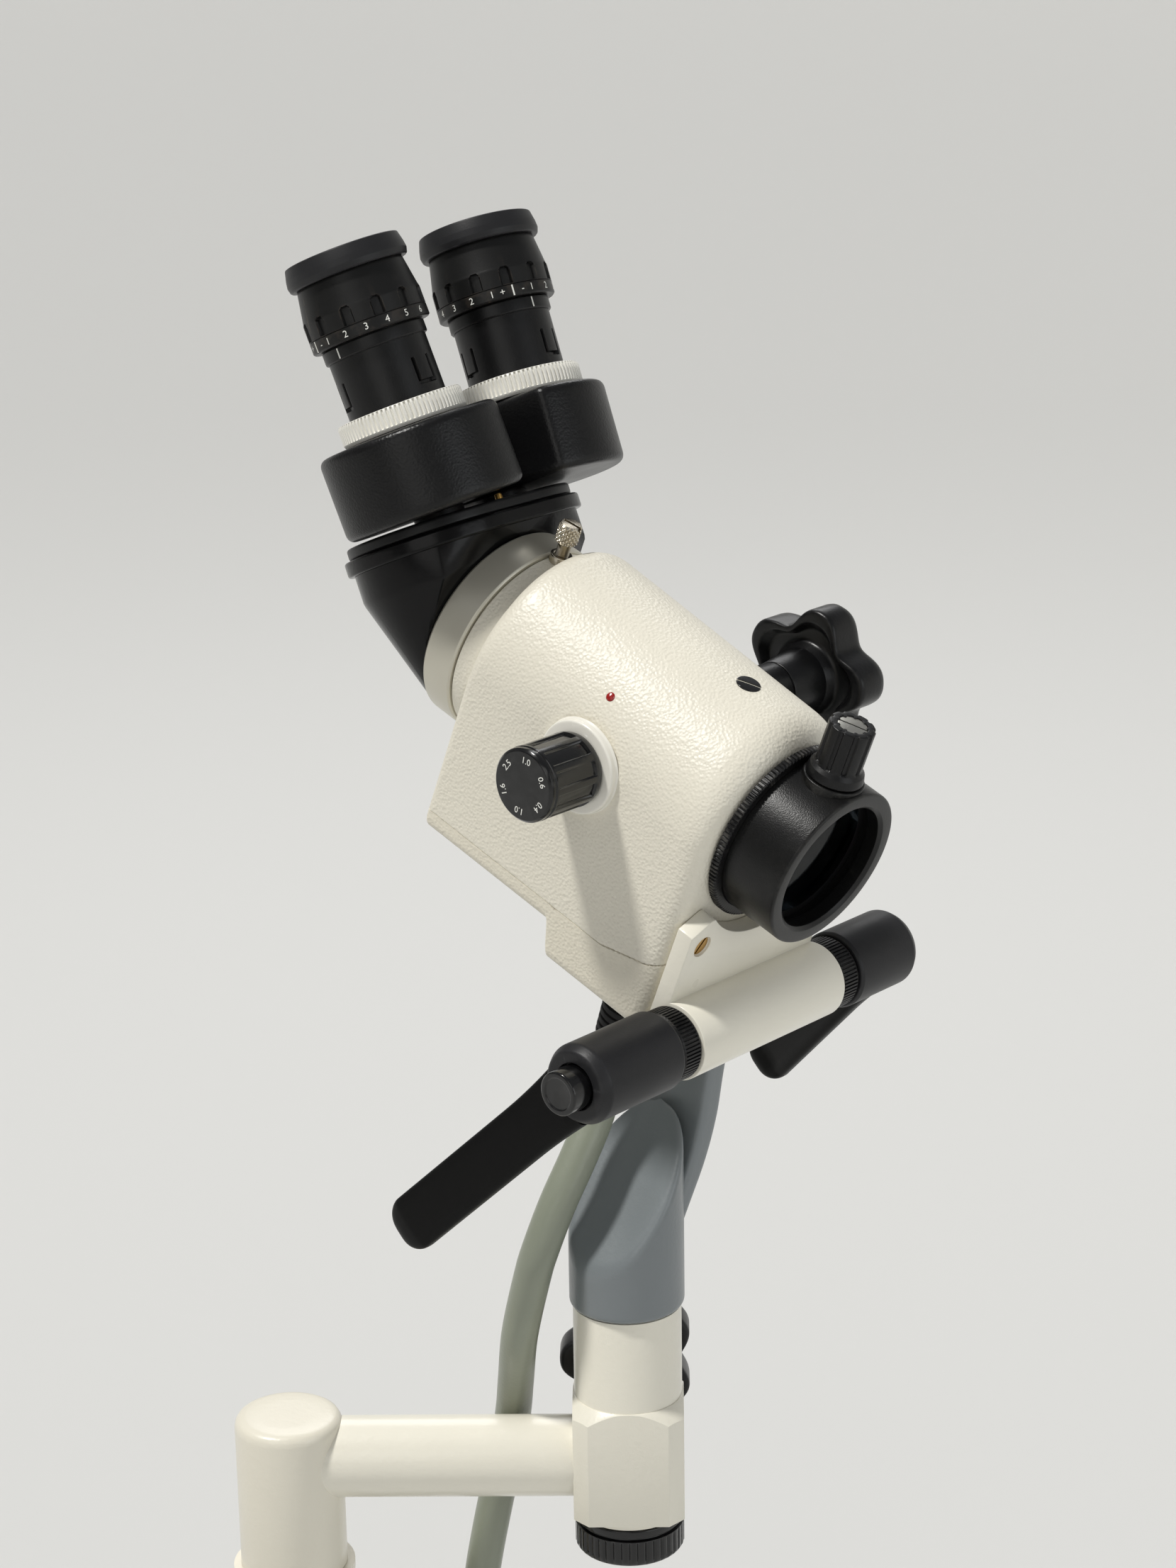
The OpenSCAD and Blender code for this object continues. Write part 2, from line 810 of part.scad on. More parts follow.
module objective_ring() {
    color(black) at_head() translate([head_front + seat, 0, 0]) rotate([0, 90, 0])
        ring(knurl_r, barrel_r + seat, knurl_h);
}

module objective_cell() {
    x0 = head_front + focus_travel;
    color(black) at_head() translate([x0, 0, 0]) rotate([0, 90, 0])
        ring(barrel_bore_r - run, barrel_bore_r - cell_wall, cell_len - 0.4);
}

module objective_lens() {
    x0 = head_front + focus_travel + cell_len * 0.5;
    color(glass) at_head() intersection() {
        along_x(barrel_bore_r - cell_wall - seat, x0 - lens_centre_t, x0 + lens_centre_t);
        for (s = [-1, 1]) translate([x0 + s * 4 * lens_r, 0, 0])
            sphere(r = 4 * lens_r + lens_centre_t * 0.75);
    }
}

module focus_knob() {
    u0 = focus_base_top + face_gap;
    color(black) at_head() translate([focus_o, 0, 0]) {
        translate([0, 0, u0]) cylinder(r1 = focus_base_r - 0.6, r2 = focus_base_r - 1.4, h = focus_skirt_h);
        translate([0, 0, u0 + focus_skirt_h]) linear_extrude(focus_knob_h - focus_skirt_h)
            fluted(focus_base_r * 0.75, 9, 1.6, 0.7);
        translate([0, 0, barrel_bore_r + face_gap]) cylinder(r = focus_spindle_r, h = u0 - barrel_bore_r);
    }
}

// Handle

module handle_bracket() {
    x0 = head_front + seat;
    x1 = head_front + bracket_t;
    color(cream) at_head() difference() {
        intersection() {
            union() {
                translate([x0, 0, 0]) rotate([90, 0, 90]) linear_extrude(x1 - x0) polygon(
                    [[-tube_half, handle_u], [tube_half, handle_u], [tube_half, bracket_top],
                     [bracket_crest_l, bracket_crest], [-bracket_crest_l, bracket_crest],
                     [-tube_half, bracket_top]]);
                translate([handle_o, 0, handle_u]) along_y(tube_r, -tube_half, tube_half);
            }
            translate([x0, -2 * tube_half, handle_u - 2 * tube_r])
                cube([4 * tube_r, 4 * tube_half, 8 * tube_r]);
        }
        along_x(scallop_r, x0 - cut, x1 + cut);
        translate([handle_o, 0, handle_u])
            along_y(rod_r + seat, -tube_half - cut, tube_half + cut);
        for (s = [-1, 1]) translate([0, s * bracket_hole_l, bracket_hole_u]) {
            along_x(screw_shank_r, x0 - cut, x1 - screw_head_h);
            along_x(screw_shank_r, x1 - screw_head_h, x1 - screw_head_h / 3, screw_head_r);
            along_x(screw_head_r, x1 - screw_head_h / 3, x1 + cut);
        }
    }
}

module handle_rod() {
    color(steel) at_handle() along_y(rod_r, -rod_half, rod_half);
}

module handle_collars() {
    color(black) at_handle() for (s = [-1, 1]) scale_side(s) translate([0, tube_half + seat, 0])
        rotate([-90, 0, 0]) ring(hand_collar_r, rod_r + seat, hand_collar_len);
}

// Keeps a piece, or turns it over to the other side
module scale_side(s) {
    if (s > 0) children();
    else mirror([0, 1, 0]) children();
}

// Grip and lever of one side in one moulding; the left one is shorter and flares more
module grip_on(s) {
    tip = lever_len - lever_w / 2;
    less = s > 0 ? left_shorter : 0;
    end = grip_end - less;
    color(rubber) at_handle() scale_side(s) difference() {
        union() {
            along_y(grip_r, grip_start, end - grip_round);
            along_y(grip_r, end - grip_round, end, grip_r - grip_round / 2);
            hull() {
                translate([lever_share[0] * grip_r / 2, 0, lever_share[1] * grip_r / 2])
                    along_y(lever_w / 2, lever_root - less, lever_root - less + lever_t, $fn = 32);
                translate([lever_share[0] * tip, 0, lever_share[1] * tip])
                    along_y(lever_w / 2, lever_root + lever_flare,
                            lever_root + lever_flare + lever_t * 0.8, $fn = 32);
            }
        }
        along_y(rod_r + run, grip_start - cut, rod_half + button_travel);
        along_y(button_r + run, end - button_socket, end + 2 * lever_flare);
    }
}

module left_grip() {
    grip_on(1);
}

module right_grip() {
    grip_on(-1);
}

module button_on(s) {
    end = grip_end - (s > 0 ? left_shorter : 0);
    y0 = end - button_socket + button_travel + face_gap;
    color(black) at_handle() scale_side(s)
        along_y(button_r, y0, end + (s > 0 ? left_button_out : button_out));
}

module left_button() {
    button_on(1);
}

module right_button() {
    button_on(-1);
}

// Light guide

module cable_gland() {
    thread_top = -cover_deep + cover_wall;
    color(black) at_head() translate([gland_o, 0, 0]) {
        translate([0, 0, -cover_deep]) cylinder(r = gland_thread_r, h = thread_top + cover_deep);
        translate([0, 0, -cover_deep - gland_nut_h]) cylinder(r = gland_nut_r, h = gland_nut_h);
        translate([0, 0, boot_end_u])
            cylinder(r1 = boot_r, r2 = gland_thread_r + 1, h = -cover_deep - gland_nut_h - boot_end_u);
    }
}

// Ferrule on the gland, and the slanted guide that carries the light behind the objective
module light_guide() {
    foot_u = -cover_deep + cover_wall + seat;
    top = [head_front - 10, -21];
    run_o = top[0] - gland_o;
    run_u = top[1] - foot_u;
    color(steel) at_head() translate([gland_o, 0, foot_u]) {
        cylinder(r = guide_foot_r, h = guide_foot_h);
        translate([0, 0, guide_r / 2])
            rotate([0, atan(run_o / run_u), 0]) cylinder(r = guide_r, h = norm([run_o, run_u]));
    }
}

// Binocular tube

module mount_collar() {
    color(cream) at_head() difference() {
        union() {
            along_x(collar_r, -head_back - collar_len, -head_back - seat);
            translate([thumb_o, 0, 0]) cylinder(r = thumb_boss_r, h = thumb_boss_top);
        }
        along_x(neck_in_r + run, -head_back - collar_len - cut, -head_back + cut);
        translate([thumb_o, 0, 0]) cylinder(r = thumb_r + run, h = thumb_boss_top + cut);
    }
}

module thumbscrew() {
    low = neck_in_r + run + face_gap;
    color(steel) at_head() translate([thumb_o, 0, 0]) {
        translate([0, 0, low]) cylinder(r = thumb_r, h = thumb_boss_top + 2 - low);
        translate([0, 0, thumb_boss_top + 2]) linear_extrude(thumb_head_h)
            fluted(thumb_head_r, 18, 0.5, 0.3);
    }
}

module dovetail_ring() {
    x1 = -head_back - collar_len - face_gap / 2;
    x0 = x1 - dovetail_len;
    color(steel) at_head() difference() {
        union() {
            along_x(dovetail_r, x0, x1);
            along_x(neck_in_r, x1 - cut, x1 + dovetail_neck_len);
        }
        along_x(tube_bore_r, x0 - cut, x1 + dovetail_neck_len + cut);
        translate([x1 - notch_depth, notch_l, neck_in_r])
            cube([notch_depth + cut, notch_w, dovetail_r]);
    }
}

module plate_outline(r) {
    translate([plate_x, 0]) {
        for (s = [-1, 1]) translate([0, s * plate_half]) circle(r = r);
        square([2 * r, 2 * plate_half], center = true);
    }
}

module prism_box() {
    x1 = -head_back - collar_len - face_gap / 2 - dovetail_len - seat;
    color(black) difference() {
        union() {
            hull() {
                at_head() along_x(dovetail_r - 1, x1 - 1, x1, $fn = 32);
                intersection() {
                    at_tube() translate([0, 0, -plate_t - flange_t - box_depth / 2])
                        linear_extrude(box_depth / 2 + flange_t / 2) plate_outline(plate_r, $fn = 32);
                    at_head() translate([x1 - face_gap - 4 * dovetail_r, -2 * dovetail_r, -2 * dovetail_r])
                        cube(4 * dovetail_r);
                }
            }
            at_tube() translate([0, 0, -plate_t - flange_t])
                linear_extrude(flange_t) plate_outline(plate_r + flange_step);
        }
        at_head() translate([duct_end_o, 1 - duct_half, -duct_low])
            cube([x1 - duct_end_o + cut, 2 * duct_half - 2, duct_low + duct_high]);
        at_tube() translate([hinge_x - hinge_bore_r * 1.6, -duct_half, -plate_t - flange_t - box_depth])
            cube([3.2 * hinge_bore_r, 2 * duct_half, flange_t + box_depth + cut]);
    }
}

// Base plate with the two hollow pivots of the prism housings
module base_plate() {
    color(black) at_tube() difference() {
        union() {
            translate([0, 0, -plate_t]) linear_extrude(plate_t) plate_outline(plate_r);
            for (s = [-1, 1]) translate([hinge_x, s * hinge_l, 0]) rotate([-s * slant, 0, 0])
                translate([0, 0, -plate_t / 2]) cylinder(r = hinge_r, h = hinge_h + plate_t / 2);
        }
        for (s = [-1, 1]) translate([hinge_x, s * hinge_l, 0]) rotate([-s * slant, 0, 0])
            translate([0, 0, -2 * plate_t]) cylinder(r = hinge_bore_r, h = 4 * plate_t + hinge_h);
    }
}

// The two prisms that turn the light up into the slanted tubes, resting on the duct's floor
module tube_prisms() {
    u0 = -duct_low;
    front = -head_back - collar_len - dovetail_len - 5;
    size = duct_low + duct_high - 2;
    color(glass) at_head() for (s = [-1, 1]) translate([0, s * path_half + prism_w / 2 * 0.9, 0])
        rotate([90, 0, 0]) linear_extrude(prism_w * 0.9)
            polygon([[front, u0], [front, u0 + size], [front - size * 0.5, u0 + size],
                     [front - size * 0.9, u0 + size * 0.6], [front - size * 0.8, u0]]);
}

// Slab on the inner side of the facet, from y0 to y1 inwards, along the whole housing
module facet_slab(side, y0, y1) {
    l = 4 * housing_r;
    translate([facet_x, -side * facet_in, -2 * housing_h]) rotate([0, 0, side * facet_angle])
        translate([-l, side > 0 ? -y1 : y0, 0]) cube([2 * l, y1 - y0, 4 * housing_h]);
}

module housing_round(side, inset) {
    translate([housing_x, -side * housing_in, housing_top - housing_h + inset])
        cylinder(r = housing_r - inset, h = housing_h - 2 * inset);
}

// Housing of one side: a hollow round with a flat inner facet, on its pivot's bore
module prism_housing(side) {
    color(black) difference() {
        at_eye(side) difference() {
            housing_round(side, 0);
            facet_slab(side, 0, 4 * housing_r);
            difference() {
                housing_round(side, housing_wall);
                facet_slab(side, -housing_wall, 4 * housing_r);
            }
            translate([0, 0, housing_top - housing_wall - cut])
                cylinder(r = sleeve_r + seat, h = housing_wall + 2 * cut);
        }
        at_tube() translate([hinge_x, side * hinge_l, 0]) rotate([-side * slant, 0, 0])
            translate([0, 0, -plate_t]) cylinder(r = hinge_r + run, h = plate_t + hinge_h + 3 * face_gap);
    }
}

module eye_tube(side) {
    low = housing_top - housing_wall;
    color(black) at_eye(side) {
        translate([0, 0, low]) ring(sleeve_r, eye_bore_r, sleeve_top_h - low);
        translate([0, 0, sleeve_top_h]) ring(index_r, eye_bore_r, index_h);
        translate([0, 0, sleeve_top_h + index_h]) ring(eye_bore_r + 2, eye_bore_r, band_h * 2);
    }
}

module clamp_ring(side) {
    color(cream) at_eye(side) translate([0, 0, housing_top + face_gap])
        ring(clamp_r, sleeve_r + run, clamp_h - housing_top - face_gap);
}

module dioptre_ring(side) {
    z0 = sleeve_top_h + index_h + face_gap;
    waist_h = 39;
    color(black) at_eye(side) difference() {
        union() {
            translate([0, 0, z0]) cylinder(r = dioptre_r, h = waist_h - z0);
            translate([0, 0, waist_h])
                cylinder(r1 = dioptre_r, r2 = eyecup_neck_r, h = eyecup_low_h - waist_h);
        }
        translate([0, 0, z0 - cut]) cylinder(r = eye_bore_r + 2 + run, h = 2 * band_h + cut);
        translate([0, 0, z0]) cylinder(r = eye_bore_r, h = eyecup_top_h);
        for (i = [0 : 11]) rotate([0, 0, i * 30]) translate([dioptre_r - recess_depth, 0, 0]) {
            translate([0, -recess_w / 2, z0 + band_h])
                cube([2 * recess_depth, recess_w, waist_h - 1 - z0 - band_h]);
            translate([0, 0, waist_h - 1]) rotate([0, 90, 0])
                cylinder(r = recess_w / 2, h = 2 * recess_depth);
        }
    }
}

module eyecup(side) {
    h = eyecup_top_h - eyecup_low_h;
    color(rubber) at_eye(side) translate([0, 0, eyecup_low_h + seat]) difference() {
        union() {
            cylinder(r1 = eyecup_r * 0.97, r2 = eyecup_r, h = h * 0.25);
            translate([0, 0, h * 0.25]) cylinder(r1 = eyecup_r, r2 = eyecup_r * 0.94, h = h * 0.75);
        }
        translate([0, 0, -cut]) cylinder(r = eye_bore_r, h = h + 2 * cut);
    }
}

// Eye lens and field lens in the sleeve, and the rhomboid prism in the housing
module eye_optics(side) {
    low = housing_top - housing_h + housing_wall;
    color(glass) at_eye(side) {
        translate([0, 0, 2 * clamp_h]) cylinder(r = eye_bore_r - seat, h = lens_t);
        translate([0, 0, sleeve_top_h + index_h + band_h]) cylinder(r = eye_bore_r - seat, h = lens_t);
        translate([-prism_w * 0.8, -prism_w / 2, low])
            cube([prism_w * 1.2, prism_w, housing_h - 2 * housing_wall - hinge_h]);
    }
}

module left_prism_housing() {
    prism_housing(1);
}

module left_eye_tube() {
    eye_tube(1);
}

module left_clamp_ring() {
    clamp_ring(1);
}

module left_dioptre_ring() {
    dioptre_ring(1);
}

module left_eyecup() {
    eyecup(1);
}

module left_eye_optics() {
    eye_optics(1);
}

module right_prism_housing() {
    prism_housing(-1);
}

module right_eye_tube() {
    eye_tube(-1);
}

module right_clamp_ring() {
    clamp_ring(-1);
}

module right_dioptre_ring() {
    dioptre_ring(-1);
}

module right_eyecup() {
    eyecup(-1);
}

module right_eye_optics() {
    eye_optics(-1);
}

// Light cable

function unit(v) = v / norm(v);

function heading(points, i) =
    unit(points[min(i + 1, len(points) - 1)] - points[max(i - 1, 0)]);

// One ring of a tube: square to the route, started from the sideways direction
function tube_ring(points, i, r, sides) =
    let (t = heading(points, i), s = unit(cross(t, [0, 1, 0])), b = cross(t, s))
    [for (k = [0 : sides - 1]) points[i] + r * (cos(k * 360 / sides) * s + sin(k * 360 / sides) * b)];

module tube(points, r, sides) {
    n = len(points);
    walls = [for (i = [0 : n - 2], k = [0 : sides - 1]) let (j = (k + 1) % sides)
                each [[i * sides + k, i * sides + j, (i + 1) * sides + j],
                      [i * sides + k, (i + 1) * sides + j, (i + 1) * sides + k]]];
    ends = [for (k = [1 : sides - 2])
               each [[0, k + 1, k], [(n - 1) * sides, (n - 1) * sides + k, (n - 1) * sides + k + 1]]];
    polyhedron(points = [for (i = [0 : n - 1]) each tube_ring(points, i, r, sides)],
               faces = [for (f = concat(walls, ends)) [f[2], f[1], f[0]]], convexity = 8);
}

module cable_lead() {
    color(cable_colour) tube(cable_route, cable_d / 2, 8);
}

// Reach of the part of the cable that tilts with the head
module tilt_reach(r) {
    at_yoke() translate([0, 0, tilt_z]) along_y(r, -2 * head_half, 2 * head_half);
}

module cable_upper() {
    color(cable_colour) intersection() {
        cable_lead();
        tilt_reach(split_tilt_r - face_gap);
    }
}

module cable_middle() {
    color(cable_colour) difference() {
        cable_lead();
        tilt_reach(split_tilt_r);
        translate([0, -reach, -split_z]) cube([2 * reach, 2 * reach, 2 * split_z + face_gap]);
    }
}

module cable_lower() {
    color(cable_colour) intersection() {
        cable_lead();
        translate([0, -reach, -split_z]) cube([2 * reach, 2 * reach, 2 * split_z]);
    }
}

// Loops of the coil: inwards in the front layer, a climb in the middle half turn, outwards behind
function coil_radius(t) = coil_r - cable_pitch * min(t, coil_turns - t);

function coil_layer(t) = coil_y + cable_pitch * min(1, max(0, 2 * (t - coil_turns / 2) + 0.5));

function coil_point(t) =
    [coil_x + coil_radius(t) * cos(-360 * t), coil_layer(t), coil_z + coil_radius(t) * sin(-360 * t)];

coil_steps = coil_turns * rings_per_turn;
coil_loops = [for (i = [0 : coil_steps]) coil_point(i / rings_per_turn)];
coil_route = concat([[coil_loops[0][0], coil_y, coil_z + cable_d]], coil_loops,
                    [coil_loops[coil_steps] + [cable_d, 0, 0]]);

module cable_coil() {
    color(cable_colour) tube(coil_route, cable_d / 2, 6);
}

function route_length(p) = [for (i = 1, s = norm(p[1] - p[0]); i < len(p);
    i = i + 1, s = i < len(p) ? s + norm(p[i] - p[i - 1]) : s) s][len(p) - 2];

coil_gap = min([for (i = [0 : coil_steps - rings_per_turn / 2 - 1])
                   for (j = [i + rings_per_turn / 2 : coil_steps])
                       norm(coil_loops[i] - coil_loops[j])]) - cable_d;
echo(least_gap_of_the_coil_to_itself = coil_gap);
echo(cable_length = route_length(cable_route) + route_length(coil_route));

// Band round the post and a loop round the coil's turns behind it
module cable_strap() {
    strap_z = coil_z + coil_r - cable_pitch * 0.9;
    inner = post_r + face_gap;
    y0 = inner;
    y1 = coil_y + cable_pitch + cable_d / 2 + face_gap * 2;
    z0 = coil_z + coil_r - 2 * cable_pitch - cable_d / 2;
    z1 = coil_z + coil_r + cable_d / 2 + face_gap * 2;
    color(black) difference() {
        union() {
            translate([0, 0, strap_z - strap_band_h / 2])
                cylinder(r = inner + strap_t, h = strap_band_h);
            translate([-strap_w, y0, z0 - strap_t])
                cube([strap_w, y1 + strap_t - y0, z1 - z0 + 2 * strap_t]);
        }
        translate([0, 0, z0 - 2 * strap_t]) cylinder(r = inner, h = z1 - z0 + 4 * strap_t);
        translate([-strap_w - cut, y0 + strap_t, z0]) cube([strap_w + 2 * cut, y1 - y0 - strap_t, z1 - z0]);
    }
}

module cable_plug() {
    p = coil_route[len(coil_route) - 1];
    color(steel) translate([0, p[1], p[2]]) {
        along_x(plug_grip_r, p[0], p[0] + plug_grip_len);
        along_x(plug_tip_r, p[0] + plug_grip_len, p[0] + plug_grip_len + plug_tip_len);
    }
}

post_tube();
swing_spindle();
post_sleeve();
arm_bushes();
cross_arm();
carrier();
height_wheel();
lift_screw();
clamp_knob();
lift_shaft();
lift_nut();
yoke();
yoke_bush();
tilt_knob();
head_casting();
bottom_cover();
drum_bushes();
tilt_pin();
objective_barrel();
objective_ring();
handle_bracket();
handle_rod();
head_screws();
handle_collars();
mount_collar();
cable_gland();
light_guide();
magnification_knob();
lens_drum();
drum_lenses();
focus_knob();
objective_cell();
objective_lens();
thumbscrew();
dovetail_ring();
prism_box();
base_plate();
tube_prisms();
left_prism_housing();
left_eye_tube();
left_clamp_ring();
left_dioptre_ring();
left_eyecup();
left_eye_optics();
right_prism_housing();
right_eye_tube();
right_clamp_ring();
right_dioptre_ring();
right_eyecup();
right_eye_optics();
left_grip();
left_button();
right_grip();
right_button();
cable_upper();
cable_middle();
cable_lower();
cable_coil();
cable_strap();
cable_plug();
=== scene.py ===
# Colposcope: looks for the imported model. Lengths are millimetres, unless a line says metres, and angles degrees.
import json

import bmesh
import bpy
import numpy as np
from mathutils import Matrix, Vector


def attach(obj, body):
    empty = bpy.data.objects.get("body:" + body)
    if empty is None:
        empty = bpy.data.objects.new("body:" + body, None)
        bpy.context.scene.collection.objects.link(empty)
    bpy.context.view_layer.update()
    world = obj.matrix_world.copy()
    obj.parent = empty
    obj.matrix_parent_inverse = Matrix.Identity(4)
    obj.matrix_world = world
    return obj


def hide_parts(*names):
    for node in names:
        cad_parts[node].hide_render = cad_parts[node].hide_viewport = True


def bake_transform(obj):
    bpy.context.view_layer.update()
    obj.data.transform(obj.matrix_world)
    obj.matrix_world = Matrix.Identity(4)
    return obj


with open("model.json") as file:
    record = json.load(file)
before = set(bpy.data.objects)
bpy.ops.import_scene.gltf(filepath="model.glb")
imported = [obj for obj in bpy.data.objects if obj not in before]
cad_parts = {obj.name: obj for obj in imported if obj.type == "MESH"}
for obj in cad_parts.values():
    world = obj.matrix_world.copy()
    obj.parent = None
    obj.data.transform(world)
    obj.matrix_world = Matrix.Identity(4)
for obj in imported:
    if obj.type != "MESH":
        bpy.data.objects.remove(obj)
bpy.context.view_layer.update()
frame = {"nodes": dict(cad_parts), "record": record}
PI = np.pi
MM = 0.001
BODY_OF = {part: name for name, parts in frame["record"]["behaviour"]["bodies"].items() for part in parts}


# ---------------------------------------- frames
def turn(axis, degrees):
    c, s = np.cos(np.radians(degrees)), np.sin(np.radians(degrees))
    rows = {"x": [[1, 0, 0], [0, c, -s], [0, s, c]],
            "y": [[c, 0, s], [0, 1, 0], [-s, 0, c]],
            "z": [[c, -s, 0], [s, c, 0], [0, 0, 1]]}[axis]
    m = np.eye(4)
    m[:3, :3] = rows
    return m


def move(x, y, z):
    m = np.eye(4)
    m[:3, 3] = (x, y, z)
    return m


def at(m, p):
    """Points of a frame, in the world's axes."""
    p = np.atleast_2d(np.asarray(p, float))
    return p @ m[:3, :3].T + m[:3, 3]


# Places that many pieces share, as part.scad has them at rest
COLUMN_X, YOKE_TURN, TILT_Z = 115.4, -40.5, 422
HEAD_PITCH, HEAD_OUT, HEAD_UP = 21.8, 12.5, 9.9
TUBE_BACK, TUBE_UP, TUBE_PITCH = -87, 36.7, -45
EYE_HALF, EYE_UP, HINGE_HALF, HINGE_OUT, SPLAY = 27.3, 31, 14.5, -11, 3.2
HANDLE_O, HANDLE_U = 64, -63
HEAD_BACK, HEAD_FRONT, HEAD_HALF = -51.5, 52, 36       # the casting's ends and half width
RIDGE_BACK, RIDGE_FALL = 5, 3.13                       # centre of its arched roof, and how the roof falls
BARREL_TOP, FOCUS_O = 28, 64.8
KNOB_OUT = 38.7                                        # the magnification knob's seat
PLUG_O, DOME_O, THUMB_O, GLAND_O = 25.6, -1.5, -55.6, 22

ALONG_X = turn("y", 90)      # local z runs along x
ALONG_Y = turn("x", -90)     # local z runs along y
WORLD = np.eye(4)
COLUMN = move(COLUMN_X, 0, 0)
YOKE = COLUMN @ turn("z", YOKE_TURN)
TILT = YOKE @ move(0, 0, TILT_Z)
HEAD = TILT @ turn("y", HEAD_PITCH) @ move(HEAD_OUT, 0, HEAD_UP)
TUBE = HEAD @ move(TUBE_BACK, 0, TUBE_UP) @ turn("y", TUBE_PITCH)
EYE = {s: TUBE @ move(0, s * EYE_HALF, EYE_UP) @ turn("x", -s * SPLAY) for s in (1, -1)}
HINGE = {s: TUBE @ move(HINGE_OUT, s * HINGE_HALF, 0) @ turn("x", -s * SPLAY) for s in (1, -1)}
HANDLE = HEAD @ move(HANDLE_O, 0, HANDLE_U)
SIDES = {1: "left", -1: "right"}


# ---------------------------------------- camera
CAMERA_AT = (0.1292, -1.0585, 0.750)      # metres
CAMERA_RIGHT, CAMERA_UP = (0.99972, 0.01766, -0.01558), (0.00940, 0.30715, 0.95161)
LENS, SENSOR, NEAR_CLIP, FAR_CLIP = 80.17, 36, 0.05, 60


def camera():
    data = bpy.data.cameras.new("camera")
    data.lens = LENS
    data.sensor_width = SENSOR
    data.clip_start, data.clip_end = NEAR_CLIP, FAR_CLIP
    cam = bpy.data.objects.new("camera", data)
    bpy.context.scene.collection.objects.link(cam)
    right = Vector(CAMERA_RIGHT).normalized()
    up = Vector(CAMERA_UP)
    up = (up - right * up.dot(right)).normalized()
    m = Matrix((right, up, right.cross(up))).transposed().to_4x4()
    m.translation = Vector(CAMERA_AT)
    cam.matrix_world = m
    bpy.context.scene.camera = cam


camera()


# ---------------------------------------- materials
def linear(rgb):
    c = np.array(rgb, float) / 255
    return tuple(np.where(c <= 0.04045, c / 12.92, ((c + 0.055) / 1.055) ** 2.4)) + (1.0,)


BLACK, WHITE = (0, 0, 0, 1), (1, 1, 1, 1)
DRIFT, SHEEN, CHIPS = 30, 70, 260         # noise scales of colour, roughness and worn edges, per metre


def grey(value):
    return (value,) * 3 + (1,)


def material(name, rgb, rough=0.5, metal=0.0, grain=1.0, bump=0.15, vary=0.08, wear=0.0,
             wear_rgb=None, coat=0.0, cells=False, crisp=0.6, **extra):
    """Procedural surface: colour drift, a bumpy grain of the given size in mm, and worn edges."""
    m = bpy.data.materials.new(name)
    m.use_nodes = True
    n, link = m.node_tree.nodes, m.node_tree.links.new
    shader = n["Principled BSDF"]
    shader.inputs["Metallic"].default_value = metal
    shader.inputs["Coat Weight"].default_value = coat
    shader.inputs["Coat Roughness"].default_value = 0.15
    for key, value in extra.items():
        shader.inputs[key].default_value = value
    where = n.new("ShaderNodeTexCoord").outputs["Object"]

    def noise(scale, detail=3.0, rugged=0.55):
        t = n.new("ShaderNodeTexNoise")
        t.inputs["Scale"].default_value = scale
        t.inputs["Detail"].default_value = detail
        t.inputs["Roughness"].default_value = rugged
        link(where, t.inputs["Vector"])
        return t.outputs["Fac"]

    def ramp(source, stops):
        r = n.new("ShaderNodeValToRGB")
        for i, (pos, colour) in enumerate(stops):
            e = r.color_ramp.elements[i]
            e.position = pos
            e.color = colour
        link(source, r.inputs["Fac"])
        return r.outputs["Color"]

    def mix(fac, a, b, kind="MIX"):
        x = n.new("ShaderNodeMix")
        x.data_type = "RGBA"
        x.blend_type = kind
        for socket, value in ((x.inputs["Factor"], fac), (x.inputs["A"], a), (x.inputs["B"], b)):
            if hasattr(value, "links"):
                link(value, socket)
            else:
                socket.default_value = value
        return x.outputs["Result"]

    base = np.array(linear(rgb))
    low, high = (tuple(np.clip(base[:3] * share, 0, 1)) + (1,) for share in (1 - vary, 1 + vary))
    colour = ramp(noise(DRIFT, 2.0), [(0.2, low), (0.8, high)])
    height = noise(1 / (grain * MM), 2.0, crisp)
    if cells:
        v = n.new("ShaderNodeTexVoronoi")
        v.feature = "SMOOTH_F1"
        v.inputs["Scale"].default_value = 1 / (grain * MM)
        v.inputs["Smoothness"].default_value = 0.6
        link(where, v.inputs["Vector"])
        height = mix(0.35, v.outputs["Distance"], height)
    if wear:
        geo = n.new("ShaderNodeNewGeometry")
        edge = ramp(geo.outputs["Pointiness"], [(0.51, BLACK), (0.56, grey(wear))])
        broken = mix(1.0, edge, ramp(noise(CHIPS, 4), [(0.45, BLACK), (0.6, WHITE)]), "MULTIPLY")
        colour = mix(broken, colour, linear(wear_rgb or [min(255, c + 45) for c in rgb]))
    link(colour, shader.inputs["Base Color"])
    dull = ramp(noise(SHEEN, 2.0), [(0.25, grey(max(0.02, rough - 0.03))), (0.75, grey(min(1, rough + 0.03)))])
    link(dull, shader.inputs["Roughness"])
    if bump:
        b = n.new("ShaderNodeBump")
        b.inputs["Strength"].default_value = bump
        b.inputs["Distance"].default_value = grain * MM * 0.5
        link(height, b.inputs["Height"])
        link(b.outputs["Normal"], shader.inputs["Normal"])
    return m


def shine(level):
    return {"Specular IOR Level": level}


def glass(ior):
    return {"Transmission Weight": 1.0, "IOR": ior}


